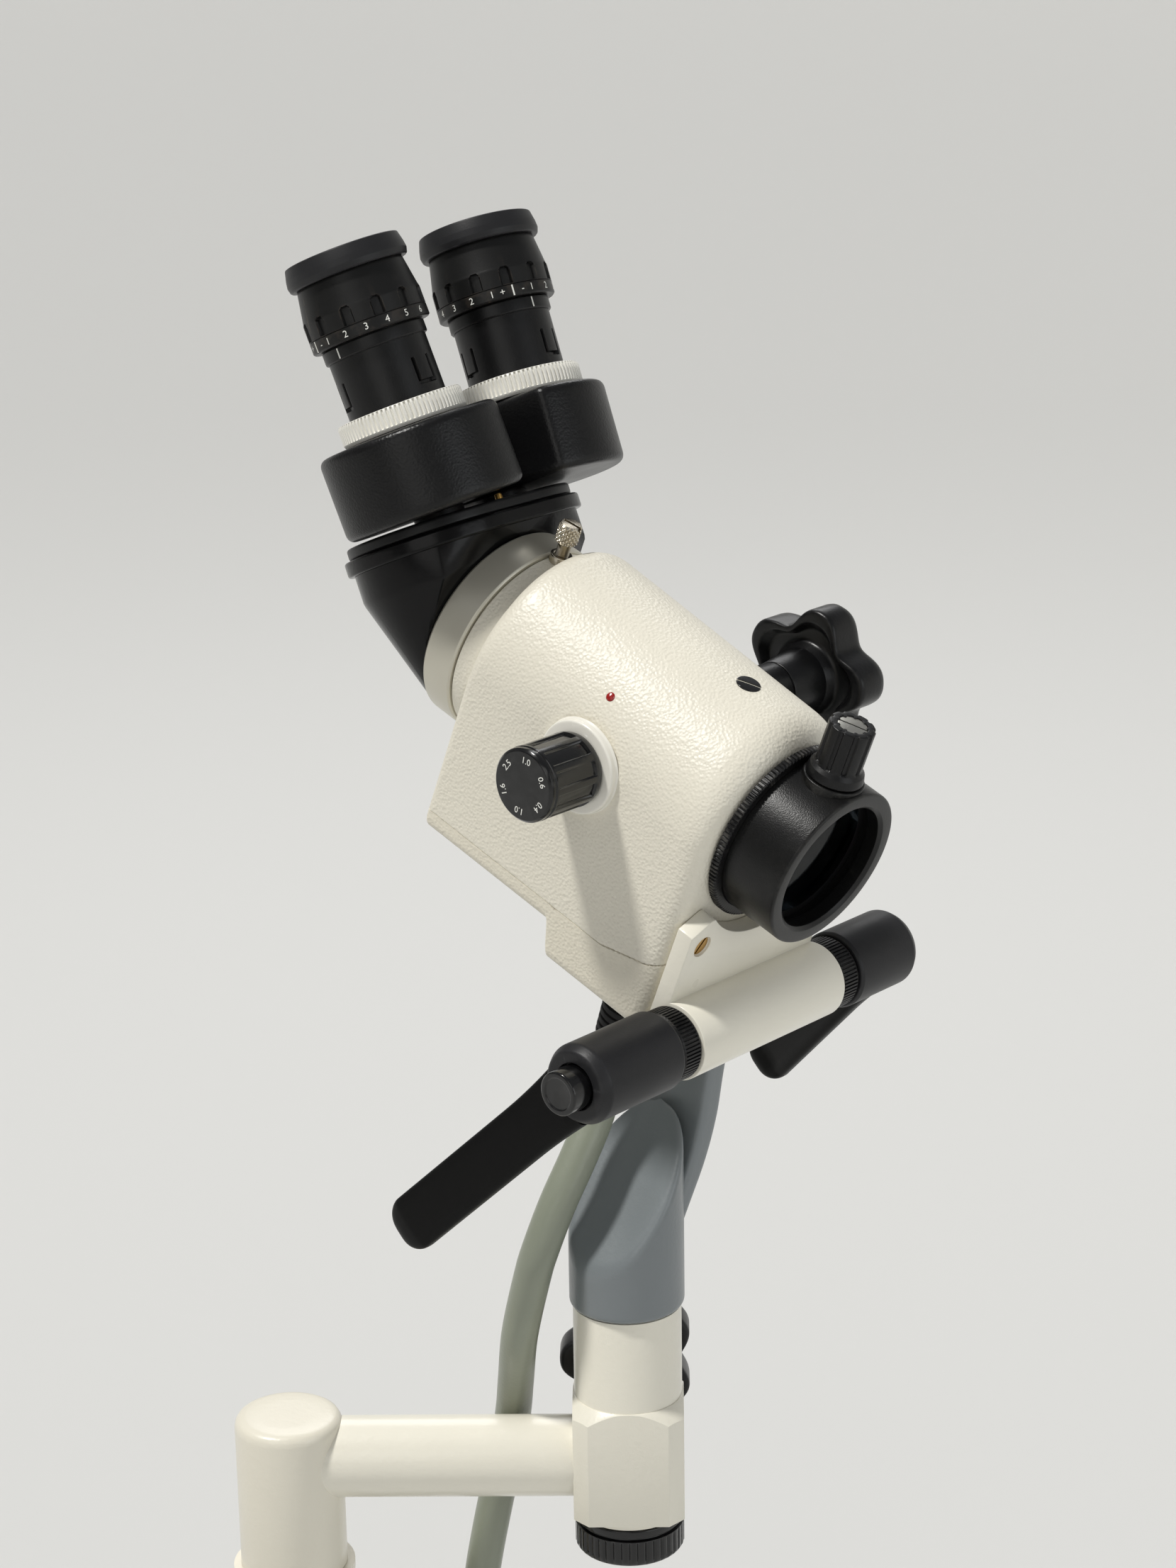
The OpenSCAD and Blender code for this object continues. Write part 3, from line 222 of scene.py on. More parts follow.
DARK = shine(0.3)
MAT = {
    "cast": material("cast_cream", (229, 224, 209), 0.40, grain=1.0, bump=0.65, vary=0.02, cells=True, coat=0.1),
    "cream": material("smooth_cream", (231, 227, 213), 0.30, grain=2.2, bump=0.10, vary=0.015, coat=0.35),
    "post": material("post_cream", (226, 221, 206), 0.34, grain=2.2, bump=0.10, vary=0.02, coat=0.25),
    "cover": material("cover_cream", (226, 220, 203), 0.40, grain=1.0, bump=0.65, vary=0.02, cells=True, coat=0.1),
    "knurled": material("ridged_cream", (238, 236, 228), 0.36, grain=0.5, bump=0.04, vary=0.04, coat=0.1),
    "white": material("white_enamel", (238, 235, 225), 0.25, grain=2.0, bump=0.04, vary=0.015, coat=0.4),
    "pearl": material("satin_silver", (206, 202, 188), 0.34, 0.55, grain=0.5, bump=0.05, vary=0.04),
    "grey": material("yoke_paint", (118, 124, 127), 0.36, grain=1.6, bump=0.12, vary=0.03, coat=0.2),
    "wrinkle": material("wrinkle_black", (15, 15, 16), 0.33, grain=0.75, bump=0.3, vary=0.1, cells=True,
                        wear=0.15, **DARK),
    "box": material("cast_black", (9, 9, 10), 0.22, grain=1.6, bump=0.06, vary=0.05, coat=0.1, **shine(0.16)),
    "satin": material("satin_black", (16, 16, 17), 0.36, grain=0.6, bump=0.10, vary=0.12, wear=0.25,
                      wear_rgb=(62, 58, 54), **DARK),
    "barrel": material("speckled_black", (17, 17, 17), 0.32, grain=0.45, bump=0.3, vary=0.2, wear=0.4,
                       wear_rgb=(70, 68, 64), **DARK),
    "gloss": material("gloss_black", (9, 9, 10), 0.15, grain=3.0, bump=0.04, vary=0.2, coat=0.5, wear=0.2, **DARK),
    "plastic": material("moulded_black", (14, 14, 15), 0.30, grain=1.2, bump=0.08, vary=0.15, wear=0.3, **DARK),
    "dull": material("dull_black", (10, 10, 11), 0.6, grain=0.8, bump=0.1, vary=0.2, **DARK),
    "ridges": material("ridged_black", (15, 15, 16), 0.4, grain=0.5, bump=0.06, vary=0.15, wear=0.6,
                       wear_rgb=(80, 78, 74), **DARK),
    "lever": material("lever_black", (11, 11, 11), 0.42, grain=0.6, bump=0.08, vary=0.1, wear=0.2,
                      wear_rgb=(60, 58, 56), **shine(0.14)),
    "rubber": material("moulded_rubber", (33, 33, 35), 0.42, grain=0.5, bump=0.14, vary=0.18, wear=0.5,
                       wear_rgb=(70, 70, 72), **DARK),
    "worn": material("worn_black", (19, 19, 19), 0.38, grain=0.6, bump=0.08, vary=0.15, wear=0.4,
                     wear_rgb=(84, 74, 64), **DARK),
    "aluminium": material("satin_aluminium", (196, 194, 186), 0.30, 1.0, grain=0.5, bump=0.05, vary=0.05,
                          crisp=0.5),
    "nickel": material("nickel", (200, 192, 176), 0.24, 1.0, grain=0.6, bump=0.10, vary=0.08),
    "brass": material("brass", (192, 152, 84), 0.28, 1.0, grain=0.6, bump=0.08, vary=0.12),
    "cable": material("cable_jacket", (134, 139, 124), 0.36, grain=1.6, bump=0.12, vary=0.08, coat=0.1),
    "strap": material("strap_webbing", (26, 26, 28), 0.7, grain=0.7, bump=0.5, vary=0.2, cells=True),
    "mark": material("white_marks", (232, 232, 226), 0.5, grain=0.5, bump=0.03, vary=0.03),
    "red": material("red_enamel", (150, 16, 14), 0.25, grain=1.0, bump=0.05, vary=0.1, coat=0.5),
    "lens": material("coated_glass", (176, 190, 200), 0.03, grain=4, bump=0.0, vary=0.03, **glass(1.15)),
    "prism": material("plain_glass", (215, 228, 230), 0.04, grain=4, bump=0.0, vary=0.03, **glass(1.52)),
}


# ---------------------------------------- mesh building
def shade(mesh, degrees):
    mesh.shade_smooth()
    mesh.set_sharp_from_angle(angle=np.radians(degrees))


def dress(name, mesh, mat, body, replaces=(), smooth=40):
    """The piece of a finished mesh. It rides on a body and may stand for CAD nodes."""
    o = bpy.data.objects.new(name, mesh)
    bpy.context.scene.collection.objects.link(o)
    mesh.materials.append(MAT[mat])
    shade(mesh, smooth)
    if body:
        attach(o, body)
    if replaces:
        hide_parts(*replaces)
    return o


def make(name, verts, faces, mat, body, m=WORLD, replaces=(), smooth=40):
    """A piece from points of a frame, in mm."""
    mesh = bpy.data.meshes.new(name)
    mesh.from_pydata((at(m, verts) * MM).tolist(), [], [list(map(int, f)) for f in faces])
    mesh.validate()
    return dress(name, mesh, mat, body, replaces, smooth)


def around(n):
    return np.arange(n) * 2 * PI / n


def grid(n, k, caps=True, flip=False):
    """Faces of n rings of k points each."""
    f = []
    for i in range(n - 1):
        for j in range(k):
            a, b = i * k + j, i * k + (j + 1) % k
            f.append((a, b, b + k, a + k))
    if caps:
        f.append(tuple(range(k))[::-1])
        f.append(tuple(range((n - 1) * k, n * k)))
    return [q[::-1] for q in f] if flip else f


def soft(points, radius=0.6, steps=4, closed=False):
    """A polyline with its corners rounded; a point may carry its own radius as third value."""
    p = [np.array(q[:2], float) for q in points]
    r = [q[2] if len(q) > 2 else radius for q in points]
    out = []
    for i in range(len(p)):
        if (i in (0, len(p) - 1) and not closed) or r[i] <= 0:
            out.append(p[i])
            continue
        a, b = p[i - 1] - p[i], p[(i + 1) % len(p)] - p[i]
        la, lb = np.linalg.norm(a), np.linalg.norm(b)
        if la < 1e-6 or lb < 1e-6:
            continue
        a, b = a / la, b / lb
        half = np.arccos(np.clip(a @ b, -1, 1)) / 2
        if half > PI / 2 - 0.03:
            out.append(p[i])
            continue
        cut = min(r[i] / np.tan(half), la * 0.45, lb * 0.45)
        for t in np.linspace(0, 1, steps + 1):
            out.append((1 - t) ** 2 * (p[i] + a * cut) + 2 * t * (1 - t) * p[i] + t * t * (p[i] + b * cut))
    return np.array(out)


def lathe(name, profile, mat, body, m, replaces=(), segs=96, mod=None, radius=0.5, smooth=40, closed=False):
    """Turns a profile of (r, z), from low z to high, about local z. mod(angle, r, z) may change the radius."""
    a = around(segs)
    rings = []
    for r, z in soft(profile, radius, closed=closed):
        rr = np.full(segs, max(r, 0.0)) if mod is None else mod(a, r, z)
        rings.append(np.stack([rr * np.cos(a), rr * np.sin(a), np.full(segs, z)], 1))
    if closed:
        rings.append(rings[0])
    faces = grid(len(rings), segs, caps=not closed)
    return make(name, np.concatenate(rings), faces, mat, body, m, replaces, smooth)


def wall(r, heights):
    """Points of a straight side, for the places where a knurl begins and ends."""
    return [(r, z, 0) for z in heights]


def wave(count, depth, duty=0.5):
    """Radius change of square-ish grooves round a knurl."""
    def f(a):
        return -depth * np.clip((duty - 0.5 + 0.5 * np.cos(a * count)) * 3, 0, 1)
    return f


def merge(o, *others):
    """Joins other meshes into the first."""
    bm = bmesh.new()
    bm.from_mesh(o.data)
    for q in others:
        bm.from_mesh(q.data)
        bpy.data.objects.remove(q)
    bm.to_mesh(o.data)
    bm.free()


# ---------------------------------------- cords
def curve(points, step):
    """Smooth line through points, sampled every step mm."""
    p = np.array(points, float)
    q = np.vstack([2 * p[0] - p[1], p, 2 * p[-1] - p[-2]])
    out = []
    for i in range(1, len(q) - 2):
        a, b, c, d = q[i - 1:i + 3]
        n = max(2, int(np.linalg.norm(c - b) / step))
        for t in np.arange(n) / n:
            out.append(0.5 * (2 * b + (c - a) * t + (2 * a - 5 * b + 4 * c - d) * t * t
                              + (3 * b - a - 3 * c + d) * t ** 3))
    out.append(q[-2])
    return np.array(out)


def rings_along(path, radius, sides=20):
    """Rings square to a path, each carried on from the last without twist."""
    d = np.gradient(path, axis=0)
    d /= np.linalg.norm(d, axis=1)[:, None]
    s = np.cross(d[0], (0, 1, 0))
    s /= np.linalg.norm(s)
    rings = []
    a = around(sides)
    for p, t in zip(path, d):
        s = s - t * (s @ t)
        s /= np.linalg.norm(s)
        b = np.cross(t, s)
        rings.append(p + radius * (np.outer(np.cos(a), s) + np.outer(np.sin(a), b)))
    return np.array(rings)


ROUTE = [[113.16, 1.94, 321.66], [109.75, 4.8, 310.6], [106.2, 3.5, 294], [100, -3.5, 280.5],
         [93.2, -9.5, 267], [87.4, -12, 252], [84.4, -9.5, 241], [79.4, -1, 216],
         [77.2, 11, 194], [75.4, 21, 175], [72.4, 25.5, 156], [68.4, 27, 138],
         [63.4, 27, 112], [61, 27, 92], [60, 27, 70], [60, 27, 45], [60, 27, 32]]
COIL_START = [60, 27, 26]
CABLE_R = 6.25
SPLIT_Z = 222.0                           # where the cable leaves the yoke for the column
COIL_X, COIL_Z, COIL_R, COIL_Y, COIL_TURNS, COIL_PITCH = -11.5, 19.5, 71.5, 27.0, 3.75, 13.1


def coil():
    """Flat spiral that runs in, steps one pitch across and runs out again, then a straight end for the plug."""
    t = np.linspace(0, COIL_TURNS, int(COIL_TURNS * 48) + 1)
    r = COIL_R - COIL_PITCH * np.minimum(t, COIL_TURNS - t)
    y = COIL_Y + COIL_PITCH * np.clip(2 * (t - COIL_TURNS / 2) + 0.5, 0, 1)
    loops = np.stack([COIL_X + r * np.cos(-2 * PI * t), y, COIL_Z + r * np.sin(-2 * PI * t)], 1)
    return np.vstack([loops, loops[-1] + [6, 0, 0], loops[-1] + [12.5, 0, 0]])


def cords():
    lead = curve(ROUTE, 3.0)
    split = int(np.argmax(lead[:, 2] < SPLIT_Z))
    whole = np.vstack([lead, [COIL_START], coil()])
    rings = rings_along(whole, CABLE_R)
    one, two = [make(name, r.reshape(-1, 3), grid(len(r), r.shape[1]), "cable", None, replaces=nodes, smooth=60)
                for name, r, nodes in (("light_cable_upper", rings[:split + 1], ("cable_upper", "cable_middle")),
              ("light_cable_lower", rings[split:], ("cable_lower", "cable_coil")))]
    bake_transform(one)
    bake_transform(two)
    plug()
    strap()


def plug():
    grooves = wave(30, 0.35)
    return lathe("cable_plug_shell", [(0, 0, 0), (6.6, 0), (7, 3), (7, 26), (5.6, 30, 1.5), (4.5, 30.2),
              (4.5, 43), (3.8, 44), (0, 44, 0)],
                 "nickel", "lift", move(1, 40.1, 91) @ ALONG_X, ("cable_plug",), segs=120,
                 mod=lambda a, r, z: np.maximum(0, r + (grooves(a) if 5 < z < 24 else 0)))


def strap():
    """Band round the post with a loop round the top of the coil."""
    inner, t, w = 18.5, 1.5, 10
    z0, z1, y1 = 58.55 - 0.2, 97.85 + 0.4, 46.95
    verts, faces = [], []
    band = lathe("strap_band", [(inner, 72.2), (inner + t, 72.2), (inner + t, 86.2), (inner, 86.2)],
                 "strap", None, WORLD, segs=96, closed=True, radius=0.4)
    out = soft([(inner + t, z0 - t), (y1 + t, z0 - t), (y1 + t, z1 + t), (inner + t, z1 + t)], 5, 6, True)
    ins = soft([(inner + 2 * t, z0), (y1, z0), (y1, z1), (inner + 2 * t, z1)], 3.8, 6, True)
    k = len(out)
    for x, ring in ((-w, out), (0, out), (0, ins), (-w, ins)):
        verts += [(x, p[0], p[1]) for p in ring]
    for j in range(k):
        n = (j + 1) % k
        for a, b in ((0, 1), (1, 2), (2, 3), (3, 0)):
            faces.append((a * k + j, a * k + n, b * k + n, b * k + j))
    loop = make("coil_strap", verts, faces, "strap", None)
    merge(loop, band)
    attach(loop, "lift")
    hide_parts("cable_strap")
    return loop


cords()


# ---------------------------------------- shaped solids
def smax(a, b, k):
    """The larger value, with the corner between the two rounded over k."""
    h = np.maximum(k - np.abs(a - b), 0) / k
    return np.maximum(a, b) + h * h * k / 4


def levels(z0, z1, k0=3.0, k1=3.0, step=2.0):
    """Heights from z0 to z1, close together within k0 and k1 of the ends."""
    near = np.array([0, 0.02, 0.06, 0.13, 0.22, 0.34, 0.48, 0.64, 0.82])
    mid = np.linspace(z0 + k0, z1 - k1, max(2, int((z1 - z0 - k0 - k1) / step) + 1))
    return np.concatenate([z0 + k0 * near, mid, (z1 - k1 * near)[::-1]])


ENDS = 9      # levels() puts this many heights at each end


def solid(name, f, zs, mat, body, m, replaces=(), centre=None, n=128, reach=130.0, stretch=(1, 1),
          smooth=40, angles=None):
    """Piece bounded by f = 0, found by rays from a centre line at each height."""
    zs = np.asarray(zs, float)
    c = np.array([centre(v) if centre else (0, 0) for v in zs])
    a = around(n) if angles is None else angles
    dx, dy = np.cos(a) * stretch[0], np.sin(a) * stretch[1]
    lo, hi = np.zeros((len(zs), len(a))), np.full((len(zs), len(a)), reach)
    z = zs[:, None]
    for _ in range(34):
        mid = (lo + hi) / 2
        inside = f(c[:, :1] + mid * dx, c[:, 1:] + mid * dy, z) < 0
        lo, hi = np.where(inside, mid, lo), np.where(inside, hi, mid)
    pts = np.stack([c[:, :1] + lo * dx, c[:, 1:] + lo * dy, np.broadcast_to(z, lo.shape)], 2)
    return make(name, pts.reshape(-1, 3), grid(len(zs), len(a)), mat, body, m, replaces, smooth)


def hull(name, points, mat, m, smooth=32):
    """Piece that is the convex hull of points."""
    bm = bmesh.new()
    for p in at(m, points) * MM:
        bm.verts.new(p)
    out = bmesh.ops.convex_hull(bm, input=bm.verts)
    inner = [g for g in out["geom_interior"] if isinstance(g, bmesh.types.BMVert)]
    bmesh.ops.delete(bm, geom=inner, context="VERTS")
    bmesh.ops.dissolve_limit(bm, angle_limit=np.radians(0.4), verts=bm.verts, edges=bm.edges)
    bmesh.ops.recalc_face_normals(bm, faces=bm.faces)
    mesh = bpy.data.meshes.new(name)
    bm.to_mesh(mesh)
    bm.free()
    return dress(name, mesh, mat, None, smooth=smooth)


def carve(o, tool):
    """Cuts another mesh out of a piece."""
    cut = o.modifiers.new("cut", "BOOLEAN")
    cut.operation = "DIFFERENCE"
    cut.solver = "EXACT"
    cut.object = tool
    bpy.context.view_layer.update()
    mesh = bpy.data.meshes.new_from_object(o.evaluated_get(bpy.context.evaluated_depsgraph_get()))
    o.modifiers.clear()
    o.data = mesh
    bpy.data.objects.remove(tool)
    shade(mesh, 35)


def block(m, x, y, z0, z1, name="cutter", mat="dull", body=None):
    """A bar of half widths x and y: a slot's cutter, or a painted line."""
    v = [(i * x, j * y, k) for k in (z0, z1) for i, j in ((-1, -1), (1, -1), (1, 1), (-1, 1))]
    f = [(3, 2, 1, 0), (4, 5, 6, 7), (0, 1, 5, 4), (1, 2, 6, 5), (2, 3, 7, 6), (3, 0, 4, 7)]
    return make(name, v, f, mat, body, m)


def soften(node, mat, width=0.8, segments=3, angle=30):
    """A copy of a CAD node with its edges broken, which stands for the node."""
    bm = bmesh.new()
    bm.from_mesh(frame["nodes"][node].data)
    bmesh.ops.remove_doubles(bm, verts=bm.verts, dist=2e-6)
    bmesh.ops.dissolve_limit(bm, angle_limit=np.radians(0.6), verts=bm.verts, edges=bm.edges)
    bmesh.ops.recalc_face_normals(bm, faces=bm.faces)
    edges = [e for e in bm.edges if len(e.link_faces) == 2 and e.calc_face_angle(0) > np.radians(angle)]
    bmesh.ops.bevel(bm, geom=edges, offset=width * MM, segments=segments, profile=0.5,
                    affect="EDGES", clamp_overlap=True)
    mesh = bpy.data.meshes.new(node + "_finished")
    bm.to_mesh(mesh)
    bm.free()
    return dress(node + "_finished", mesh, mat, BODY_OF[node], (node,))


def disc_points(m, r, z, n=96):
    a = around(n)
    return at(m, np.stack([r * np.cos(a), r * np.sin(a), np.full(n, z)], 1))


def lettering(name, text, size, depth=0.12):
    """Points and faces of raised generic figures on the plane z = 0."""
    data = bpy.data.curves.new(name, "FONT")
    data.body = text
    data.size = size
    data.align_x = "CENTER"
    data.align_y = "CENTER"
    data.extrude = depth / 2
    data.resolution_u = 3
    o = bpy.data.objects.new(name, data)
    bpy.context.scene.collection.objects.link(o)
    bpy.context.view_layer.update()
    mesh = bpy.data.meshes.new_from_object(o)
    bpy.data.objects.remove(o)
    p = np.array([v.co[:] for v in mesh.vertices])
    faces = [list(q.vertices) for q in mesh.polygons]
    bpy.data.meshes.remove(mesh)
    return p, faces


def figures(name, items, mat, body):
    """One piece from (text, size, frame) rows; frame z points off the surface."""
    verts, faces, k = [], [], 0
    for text, size, m in items:
        p, f = lettering(name, text, size)
        verts.append(at(m, p))
        faces += [[i + k for i in q] for q in f]
        k += len(p)
    return make(name, np.concatenate(verts), faces, mat, body, WORLD, smooth=30)


# ---------------------------------------- stand and lift
def stand():
    lathe("post_sleeve_shell",
          [(16.0, 129.5), (18.2, 129.5, 0.4), (18.2, 185.45, 4.0), (9, 185.45, 0), (0, 185.45, 0)],
          "post", "swing_arm", WORLD, ("post_sleeve",), segs=120)
    lathe("arm_tube", [(11, 9.5), (13.75, 9.5, 0), (13.75, 101), (11, 101)], "cream", "swing_arm",
          move(0, 0, 169.3) @ ALONG_X, ("cross_arm",), segs=96)
    soften("carrier", "cream", 1.0)
    ribs, rib_z = wave(40, 0.55, 0.32), (137.6, 145.6)

    def wheel(a, r, z):
        if rib_z[0] < z < rib_z[1]:
            return r + ribs(a)
        return np.full_like(a, r)
    lathe("height_wheel_rim", [(7.1, 136.8), (17.9, 136.8, 0.6)] + wall(18.6, np.linspace(138.0, 145.4, 6)) +
          [(18.6, 146.0, 0.2), (17.4, 146.4, 0.3), (17.4, 147.2, 0.3), (18.6, 147.6, 0.3), (18.6, 150.2, 0.7),
           (7.1, 150.2)],
          "gloss", "height_wheel", COLUMN, ("height_wheel",), segs=320, mod=wheel, radius=0.3)
    star("clamp_star", "clamp_knob", COLUMN @ move(0, 19, 189) @ ALONG_Y, 24, 9.6, 11, 11, 36)


def star(name, node, m, r, hub0, hub1, hub, turn_to):
    """Knob with five broad lobes, a raised rim and a dish round its hub. Its node and body share one name."""
    core = hub1 + 2.4

    def mod(a, q, z):
        h = (1 - np.cos(5 * (a - np.radians(turn_to)))) / 2
        rim = r * (1 - 0.27 * h ** 1.35)
        return core + (q - core) * (rim - core) / (r - core) if q > core else np.full_like(a, q)
    profile = [(0, 0, 0), (hub0, 0, 0.6), (hub1, hub - 1, 1.0), (core - 0.6, hub + 2.6, 2.2),
               (r - 7.6, hub + 2.9, 2.0), (r - 4.6, hub, 1.7), (r, hub, 4.0), (r, hub + 14.2, 4.5),
               (r * 0.6, hub + 15, 4.0), (0, hub + 14.2, 0)]
    lathe(name, profile, "plastic", node, m, (node,), segs=200, radius=1.0, mod=mod, smooth=60)


# ---------------------------------------- yoke
YOKE_OUTER = [(3.9, 242.2), (15.8, 260.6), (24.6, 274.6), (30.7, 288.7), (35.1, 305.8), (48, 350), (48, 440)]
FOOT_R, FOOT_Z, FACE_Z, ARM_Z, ARM_HALF = 19.3, 227.2, 245.2, 244, 15.6
FACE_RISE, FACE_SCALE = 1.295, 1.636      # rise of the foot's slanted face, and what makes its value a distance


def yoke():
    outer = np.array(YOKE_OUTER, float)
    fine = curve(np.c_[outer, np.zeros(len(outer))], 2.0)

    def edge(z):
        return np.interp(z, fine[:, 1], fine[:, 0])

    def foot(p, l, z):
        d = smax(np.hypot(p, l) - FOOT_R, FOOT_Z - z, 2.2)
        face = (z - (FACE_Z + (l + FOOT_R) * FACE_RISE)) / FACE_SCALE
        bowl = 1.5 * np.exp(-((p / 12) ** 4)) * np.exp(-(((z - 268) / 17) ** 4))
        return smax(d, face + bowl, 2.6)

    def foot_centre(z):
        low = (z - FACE_Z) / FACE_RISE - FOOT_R
        return 0.0, 0.0 if z < FACE_Z else min(18.6, 0.5 * (low + FOOT_R) + 0.4 * (z > 280))

    def arm(p, l, z):
        o = edge(z)
        d = smax((l - o) * 0.93, (o - 9.8 - l) * 0.93, 1.6)
        d = smax(d, np.abs(p) - ARM_HALF, 2.6)
        return smax(d, np.hypot(p, np.maximum(z - TILT_Z, 0)) - ARM_HALF, 2.0)
    top = FACE_Z + 2 * FOOT_R * FACE_RISE
    zs = np.concatenate([levels(FOOT_Z, ARM_Z, 2.2, 0.01, 1.4)[:-ENDS], np.linspace(ARM_Z, top - 1.2, 64)])
    a = solid("yoke_foot", foot, zs, "grey", None, YOKE, centre=foot_centre, n=200, reach=60, smooth=60)
    zs = np.concatenate([np.linspace(ARM_Z, TILT_Z - 1, 112), TILT_Z + 15.58 * np.sin(np.linspace(0, PI / 2, 30))])
    b = solid("yoke_arm", arm, zs, "grey", None, YOKE, centre=lambda z: (0.0, edge(z) - 4.9), n=160, reach=60,
              smooth=60)
    merge(b, a)
    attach(b, "yoke")
    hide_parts("yoke")
    lathe("yoke_boss", [(3, 47.7), (10.4, 47.9, 0), (9.6, 49.5, 1.2), (9.3, 54), (9.3, 78, 0.7), (3.2, 78)],
          "plastic", "yoke", TILT @ ALONG_Y, segs=96)
    star("tilt_star", "tilt_knob", TILT @ move(0, 78.3, 0) @ ALONG_Y, 25.5, 9.3, 11.2, 15, -0.2)


# ---------------------------------------- head
def seam(o):
    """Height of the parting line between casting and cover."""
    return np.interp(o, [-60, 28, 35.9, 46, 52], [-50, -50, -47.8, -45.3, -42])


def ridge(o):
    return RIDGE_BACK - (o - HEAD_BACK) * np.tan(np.radians(RIDGE_FALL))


def head():
    def arch(l, u, o):
        up = u - ridge(o)
        return np.where(up > 0, np.hypot(l, up), np.abs(l)) - HEAD_HALF

    fan = np.radians(np.concatenate([np.arange(40, 54, 0.3), np.arange(54, 306, 1.6), np.arange(306, 320, 0.3),
                                     np.arange(320, 400, 1.6)])) % (2 * PI)

    def casting(x, y, z):
        u, l, o = -x, y, z
        d = smax(arch(l, u, o), o - HEAD_FRONT, np.interp(u, [-50, -20, 25], [6.5, 7.5, 13]))
        d = smax(d, HEAD_BACK - o, np.interp(u, [-50, 0, 25], [2, 3, 8]))
        return np.maximum(d, seam(o) - u)
    shell = solid("casting_shell", casting, levels(HEAD_BACK, HEAD_FRONT, 8, 12, 2.0), "cast", None, HEAD @ ALONG_X,
                  centre=lambda o: (6.0, 0), stretch=(1.2, 1), smooth=50, angles=fan)
    boss = lathe("casting_boss", [(6, 35), (14.2, 35.6, 0), (13.2, 36.6, 0.5), (13, 38, 0.5), (6, 38)],
                 "cast", None, HEAD @ move(-HEAD_OUT, 0, -HEAD_UP) @ ALONG_Y, segs=96)
    merge(shell, boss)
    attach(shell, "head")
    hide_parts("head_casting")

    def low(o):
        s = np.clip((o - 4.5) / 5.0, 0, 1)
        return -57 - 12 * (s * s * (3 - 2 * s))

    def cover(x, y, z):
        u, l, o = -x, y, z
        d = smax(np.abs(l) - HEAD_HALF, low(o) - u, 4.5)
        d = smax(d, o - HEAD_FRONT, 6.5)
        d = smax(d, HEAD_BACK - o, 2.0)
        return np.maximum(d, u - seam(o) + 0.15)
    zs = np.concatenate([levels(HEAD_BACK, 4, 2.0, 0.5, 3.0)[:-ENDS], np.linspace(4.1, 10, 16),
                         levels(10.5, HEAD_FRONT, 0.5, 6.0, 2.0)[ENDS:]])
    solid("cover_shell", cover, zs, "cover", "head", HEAD @ ALONG_X, ("bottom_cover",),
          centre=lambda o: (-(seam(o) + low(o)) / 2, 0), n=540, stretch=(0.14, 1), smooth=50)
    side = HEAD @ move(0, -HEAD_HALF, 0) @ turn("x", 90)
    boss = lathe("white_boss", [(4.1, -0.2), (15.5, -0.2, 0), (15, 0.5, 0.5), (15, 2.4, 0.9), (4.1, 2.4)],
                 "white", None, side, segs=120, closed=True)
    merge(boss, lathe("far_bush", [(4.1, -73.9), (5.9, -73.9, 0.3), (5.9, -68, 0), (4.1, -68)],
                      "white", None, side, segs=64, closed=True))
    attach(boss, "head")
    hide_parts("drum_bushes")
    magnification(HEAD @ move(0, -KNOB_OUT, 0) @ turn("x", 90))
    fasteners()


def fasteners():
    """The roof's slotted plug and red dome, and the bracket's two screws."""
    m = HEAD @ move(PLUG_O, 0, ridge(PLUG_O) + HEAD_HALF) @ turn("y", RIDGE_FALL)
    roof_plug = lathe("roof_plug", [(0, -3, 0), (4.0, -3, 0), (4.0, 0.25, 0.3), (0, 0.35, 0)], "gloss", "head", m,
                      segs=64)
    carve(roof_plug, block(m @ turn("z", 35), 5, 0.4, -0.5, 2))
    screws = []
    for s in (1, -1):
        m = HEAD @ move(58, s * 27.7, -32.8) @ ALONG_X
        screws.append(lathe("bracket_screws", [(0, -8, 0), (1.95, -8, 0), (1.95, -2.6, 0), (3.5, -0.95, 0.2),
              (0, -0.95, 0)], "brass", None, m, segs=48))
        carve(screws[-1], block(m @ turn("z", 20 + 50 * s), 4, 0.42, -1.9, 1))
    merge(*screws)
    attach(screws[0], "head")
    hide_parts("head_screws")
    lean = np.radians(55)
    n = np.array([0, -np.sin(lean), np.cos(lean)])
    place = np.array([DOME_O, 0, ridge(DOME_O)]) + 35.95 * n
    facing("index_dome", HEAD, place, n, [(1.5, -0.6), (1.5, 0.05, 0.1), (1.1, 0.55, 0.5), (0, 0.75, 0)],
           "red", "head")


def facing(name, m, p, n, profile, mat, body):
    """A turned piece at p of a frame, with its axis along n."""
    z = np.array(n, float) / np.linalg.norm(n)
    x = np.cross((0, 0, 1), z)
    x /= np.linalg.norm(x)
    f = np.eye(4)
    f[:3, 0], f[:3, 1], f[:3, 2], f[:3, 3] = x, np.cross(z, x), z, p
    return lathe(name, profile, mat, body, m @ f, segs=48)


